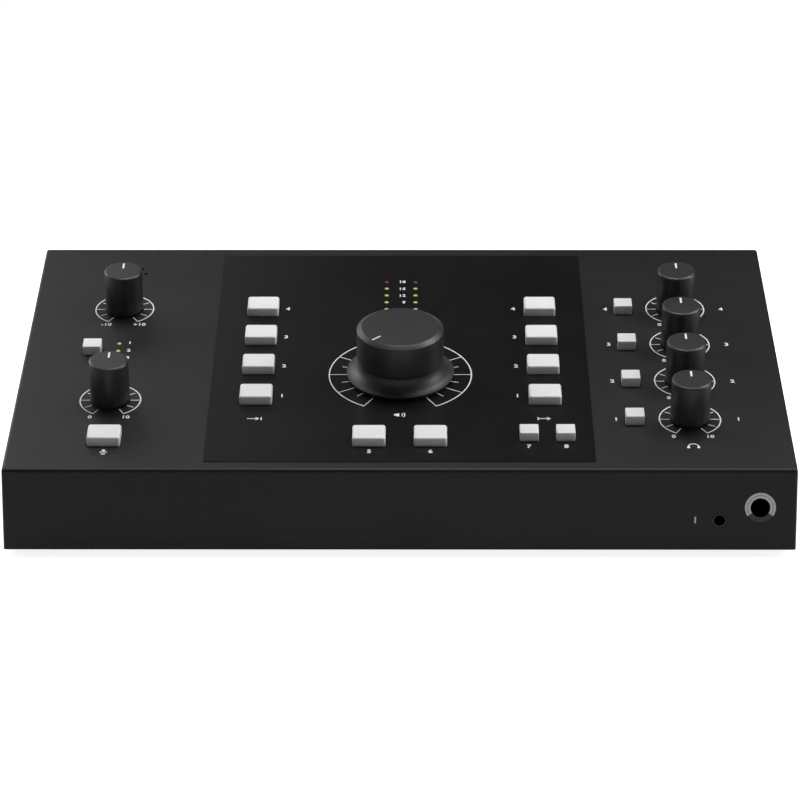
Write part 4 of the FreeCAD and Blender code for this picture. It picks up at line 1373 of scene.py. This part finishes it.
@dataclass
class Mark:
    """A printed number, its place and height in millimetres."""

    text: str
    across: float
    up: float
    align: Align = Align.CENTRE
    height: float = 2.1


@dataclass
class Printing:
    """Numbers and plain signs printed on the panel and the front face."""

    ink_thick: float = 0.03 * MM
    weight: float = 0.035
    cap_share: float = 0.73
    rows: tuple[float, ...] = (47.9, 68.3, 88.8, 109.3)
    dial_rows: tuple[float, ...] = (32.6, 58.2, 83.9, 109.5)
    lamp_rows: tuple[float, ...] = (84.9, 79.6, 74.5, 69.1)
    scale_drop: float = 11.3
    scale_height: float = 1.9
    socket_mark: Point = (98.2, 10.2)
    spacing: float = 1.12

    def _number(self, mark: Mark) -> bpy.types.Mesh:
        """Make a number as a flat solid.

        Args:
            mark: The number.

        Returns:
            Its mesh, its line's middle at the origin.
        """
        text = bpy.data.curves.new("number", "FONT")
        text.body = mark.text
        text.size = mark.height * MM / self.cap_share
        text.align_x = mark.align.value
        text.align_y = "CENTER"
        text.offset = self.weight * text.size
        text.space_character = self.spacing
        text.extrude = self.ink_thick / 2
        text.resolution_u = 6
        return moved(shaped(text, []), Matrix.Translation((0, 0, self.ink_thick / 2)))

    def marks(self) -> list[Mark]:
        """List the numbers of the panel.

        Returns:
            Every number with its place.
        """
        left, right, small = Align.LEFT, Align.RIGHT, self.scale_height
        result = []
        for number, up in enumerate(self.rows, 1):
            result.append(Mark(str(number), -41.3, up, left))
            result.append(Mark(str(number), 41.0, up, right))
        for number, up in enumerate(self.dial_rows, 1):
            result.append(Mark(str(number), 114.2, up, left))
            result.append(Mark(str(number), 74.1, up, right))
            result.append(Mark("0", 92.2, up - self.scale_drop, height=small))
            result.append(Mark("10", 104.4, up - self.scale_drop, height=small))
        for number, up in enumerate(self.lamp_rows, 1):
            result.append(Mark(str(number), -96.3, up, left, 1.8))
        result += [
            Mark("-10", -105.1, 98.2, height=small),
            Mark("+10", -93.3, 98.2, height=small),
            Mark("0", -105.5, 33.9, height=small),
            Mark("10", -93.3, 33.9, height=small),
            Mark("5", -10.2, 11.3),
            Mark("6", 10.3, 11.3),
            Mark("7", 43.3, 14.6),
            Mark("8", 55.85, 14.6),
        ]
        for text, up in (("9", 114.15), ("12", 119.2), ("15", 124.3), ("18", 129.6)):
            result.append(Mark(text, 1.6, up, right, 1.7))
        return result

    def signs(self, panel: Panel) -> list[bpy.types.Mesh]:
        """Draw the plain signs: headphones, microphone, loudspeaker and two arrows.

        Args:
            panel: The panel's frame.

        Returns:
            The mesh of each sign, in its place.
        """
        headphones = [
            (arc_points((0.0, -0.4), 1.7, -90, 90, 16), 0.4),
            ([(-1.7, -0.2), (-1.7, -1.5)], 0.9),
            ([(1.7, -0.2), (1.7, -1.5)], 0.9),
        ]
        microphone = [
            ([(0.0, 1.4), (0.0, -0.2)], 1.1),
            (arc_points((0.0, 0.1), 1.1, 90, 270, 12), 0.3),
            ([(0.0, -1.0), (0.0, -1.6)], 0.35),
            ([(-0.7, -1.65), (0.7, -1.65)], 0.3),
        ]
        speaker = [
            ([(-2.0, 0.0), (-1.2, 0.0)], 1.1),
            ([(-1.2, 0.0), (-0.9, 0.0), (-0.2, 0.0)], 1.9),
            (arc_points((-0.4, 0.0), 1.3, 50, 130, 10), 0.32),
            (arc_points((-0.4, 0.0), 2.1, 50, 130, 12), 0.32),
        ]
        arrow = [([(-2.6, 0.0), (1.2, 0.0)], 0.36), ([(0.2, 0.9), (1.3, 0.0), (0.2, -0.9)], 0.36)]
        inward = [*arrow, ([(2.2, 1.0), (2.2, -1.0)], 0.36)]
        outward = [*arrow, ([(-2.8, 1.0), (-2.8, -1.0)], 0.36)]
        result = []
        for lines, across, up in (
            (headphones, 98.4, 15.3),
            (microphone, -99.0, 11.4),
            (speaker, 0.0, 35.1),
            (inward, -49.3, 32.6),
            (outward, 49.7, 32.7),
        ):
            parts = [stroke(in_metres(points), width * MM, self.ink_thick) for points, width in lines]
            result.append(moved(join_meshes("sign", parts), panel.printed(across, up)))
        return result

    def build(self, panel: Panel, finishes: Finishes) -> None:
        """Print every number and sign.

        Args:
            panel: The panel's frame.
            finishes: The object's materials.
        """
        parts = self.signs(panel)
        for mark in self.marks():
            parts.append(moved(self._number(mark), panel.printed(mark.across, mark.up)))
        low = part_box("top_cover")[0]
        across, up = self.socket_mark
        front = Matrix.Translation((across * MM, low.y, low.z + up * MM)) @ FACING_FRONT
        parts.append(moved(self._number(Mark("1", 0.0, 0.0, height=2.2)), front))
        mesh = join_meshes("panel_printing", parts)
        add_piece("panel_printing", mesh, finishes.ink, ROOT, smooth=False)


@dataclass(frozen=True)
class Softbox:
    """One rectangular soft lamp that faces the object."""

    name: str
    place: Triple
    size: Point
    power: float
    aim: Triple = (0.0, 0.0, 0.05)

    def hang(self) -> None:
        """Put the lamp into the scene."""
        data = bpy.data.lights.new(self.name, "AREA")
        data.shape = "RECTANGLE"
        data.size, data.size_y = self.size
        data.energy = self.power
        lamp = add_object(self.name, data)
        turned = (Vector(self.aim) - Vector(self.place)).to_track_quat("-Z", "Y")
        lamp.matrix_world = Matrix.Translation(self.place) @ turned.to_matrix().to_4x4()


SOFTBOXES = (
    Softbox("overhead", (0.0, 0.1, 1.1), (0.4, 0.4), 5.6),
    Softbox("right_side", (1.0, 0.0, 0.4), (0.4, 0.6), 4.6),
    Softbox("right_above", (0.5, 0.12, 0.85), (0.3, 0.3), 3.1),
    Softbox("left_behind", (-0.45, 0.45, 0.5), (0.4, 0.4), 0.97),
    Softbox("left_side", (-1.0, 0.1, 0.45), (0.6, 0.7), 0.86),
    Softbox("left_low", (-0.5, 0.3, 0.3), (0.25, 0.25), 0.74),
    Softbox("left_above", (-0.6, 0.38, 0.83), (0.35, 0.35), 0.62),
    Softbox("behind", (0.0, 1.0, 0.3), (0.8, 0.25), 0.39),
    Softbox("right_front", (0.7, -0.5, 0.45), (0.35, 0.35), 0.25),
    Softbox("behind_above", (-0.3, 0.8, 0.8), (0.4, 0.3), 0.23),
    Softbox("front", (0.0, -1.3, 0.7), (0.6, 0.4), 0.18),
    Softbox("left_front", (-0.7, -0.5, 0.5), (0.35, 0.35), 0.14),
)


@dataclass
class Studio:
    """Floor, lights and the camera at the photograph's viewing angle."""

    focal: float = 147.64
    sensor: float = 36.0
    place: Triple = (0.00640, -1.11923, 0.32642)
    pitch: float = 14.6147
    yaw: float = 0.33867
    roll: float = -0.06437
    floor_half: float = 6.0
    floor_grey: float = 0.62
    floor_lift: float = 0.88
    mirror_lift: float = 0.4
    sky_light: float = 0.03

    def _camera(self) -> None:
        """Place the camera."""
        data = bpy.data.cameras.new("camera")
        data.lens = self.focal
        data.sensor_width = self.sensor
        camera = add_object("camera", data)
        turned = (
            Matrix.Rotation(math.radians(self.yaw), 4, "Z")
            @ Matrix.Rotation(math.radians(90 - self.pitch), 4, "X")
            @ Matrix.Rotation(math.radians(self.roll), 4, "Z")
        )
        camera.matrix_world = Matrix.Translation(self.place) @ turned
        bpy.context.scene.camera = camera

    def _floor(self) -> None:
        """Lay the pale floor, which shows white and keeps the object's shadow."""
        shape = bmesh.new()
        bmesh.ops.create_grid(shape, x_segments=1, y_segments=1, size=self.floor_half)
        mesh = bpy.data.meshes.new("floor")
        shape.to_mesh(mesh)
        shape.free()
        shader = Shader("pale_floor")
        seen, mirrored, through = [
            shader.node("ShaderNodeLightPath", result=f"Is {kind} Ray")
            for kind in ("Camera", "Glossy", "Transmission")
        ]
        lift = seen * self.floor_lift + mirrored * self.mirror_lift + through * self.mirror_lift
        mesh.materials.append(shader.finish(
            Base_Color=grey(self.floor_grey),
            Roughness=0.9,
            Specular_IOR_Level=0.0,
            Emission_Color=grey(1.0),
            Emission_Strength=lift,
        ))
        floor = add_object("floor", mesh)

    def _world(self) -> None:
        """Make the surroundings white to the camera and dimmer as light."""
        world = bpy.data.worlds.new("studio")
        world.use_nodes = True
        tree = world.node_tree
        tree.nodes.clear()
        rays = add_node(tree, "ShaderNodeLightPath")
        dim, white = [
            add_node(tree, "ShaderNodeBackground", {}, {"Strength": strength})
            for strength in (self.sky_light, 1.0)
        ]
        mixed = add_node(tree, "ShaderNodeMixShader", {}, {
            0: rays.outputs["Is Camera Ray"],
            1: dim.outputs[0],
            2: white.outputs[0],
        })
        add_node(tree, "ShaderNodeOutputWorld", {}, {"Surface": mixed.outputs[0]})
        bpy.context.scene.world = world

    def build(self) -> None:
        """Build the whole studio."""
        bpy.context.scene.view_settings.view_transform = "Standard"
        self._camera()
        self._floor()
        self._world()
        for softbox in SOFTBOXES:
            softbox.hang()


MAIN_PROFILE = [
    (0.0, 17.25, 0.0),
    (13.05, 17.25, 0.0),
    (13.05, 7.2, 0.0),
    (14.85, 7.2, 0.0),
    (15.05, 7.4, 0.0),
    (15.05, 18.25, 0.25),
    (13.25, 19.25, 0.35),
    (0.0, 19.25, 0.0),
]
SMALL_PROFILE = [
    (0.0, 4.8, 0.0),
    (5.5, 4.8, 0.0),
    (5.5, 0.8, 0.0),
    (6.6, 0.8, 0.0),
    (6.75, 0.95, 0.0),
    (6.75, 15.3, 0.1),
    (6.55, 15.65, 0.1),
    (6.05, 15.9, 0.1),
    (0.0, 15.9, 0.0),
]
SMALL_KNOBS = ["trim_knob", "talkback_knob"] + [f"headphone_knob_{number}" for number in range(1, 5)]


@dataclass
class Controller:
    """The whole object: its case, knobs, buttons, lamps, sockets and printing."""

    panel: Panel
    finishes: Finishes

    def dress_nodes(self) -> None:
        """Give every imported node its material."""
        done = self.finishes
        by_slot = {
            Slot.CASE: done.case,
            Slot.OVERLAY: done.plate,
            Slot.KNOB: done.knob,
            Slot.SURROUND: done.surround,
            Slot.CAP: done.cap,
            Slot.LAMP_GREEN: done.green,
            Slot.LAMP_RED: done.red,
            Slot.RING: done.ring,
            Slot.METAL: done.metal,
            Slot.PLASTIC: done.plastic,
            Slot.BOARD: done.board,
            Slot.RIBBON: done.ribbon,
            Slot.RUBBER: done.rubber,
        }
        for subpart in frame["record"]["subparts"]:
            dress(subpart["node"], by_slot[Slot(subpart["material_slot"])])

    @staticmethod
    def dials() -> list[tuple[Knob, DialScale]]:
        """List the knobs.

        Returns:
            Every knob with the scale round it.
        """
        joint = "main_knob_turn"
        main = Knob(
            "main_knob", joint, in_metres(MAIN_PROFILE), 19.25 * MM, (9.3 * MM, 13.2 * MM), -134.0, 0.55 * MM,
            shaft=False,
        )
        result = [(main, DialScale("main_knob_scale", joint, 24.68 * MM, 18.0 * MM, 20.9 * MM, 15.0))]
        for name in SMALL_KNOBS:
            joint = name + "_turn"
            knob = Knob(name, joint, in_metres(SMALL_PROFILE), 15.9 * MM, (1.6 * MM, 5.15 * MM))
            scale = DialScale(name + "_scale", joint, 10.37 * MM, 6.9 * MM, 9.5 * MM, 30.0)
            result.append((knob, scale))
        return result

    def build(self) -> None:
        """Build the object."""
        self.dress_nodes()
        for knob, scale in self.dials():
            knob.build(self.panel, self.finishes)
            scale.build(self.panel, self.finishes)
        for subpart in frame["record"]["subparts"]:
            if subpart["material_slot"] == Slot.CAP.value:
                ButtonCap(subpart["node"]).build(self.panel, self.finishes)
        FlaredRing().build(self.panel, self.finishes)
        Lenses().build(self.panel, self.finishes)
        HeadphoneRing().build(self.finishes)
        Screws().build(self.finishes)
        Printing().build(self.panel, self.finishes)


def main() -> None:
    """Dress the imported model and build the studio."""
    logging.basicConfig(level=logging.INFO, format="%(message)s")
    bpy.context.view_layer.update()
    Controller(Panel(), Finishes()).build()
    Studio().build()
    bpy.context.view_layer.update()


if __name__ == "__main__":
    main()
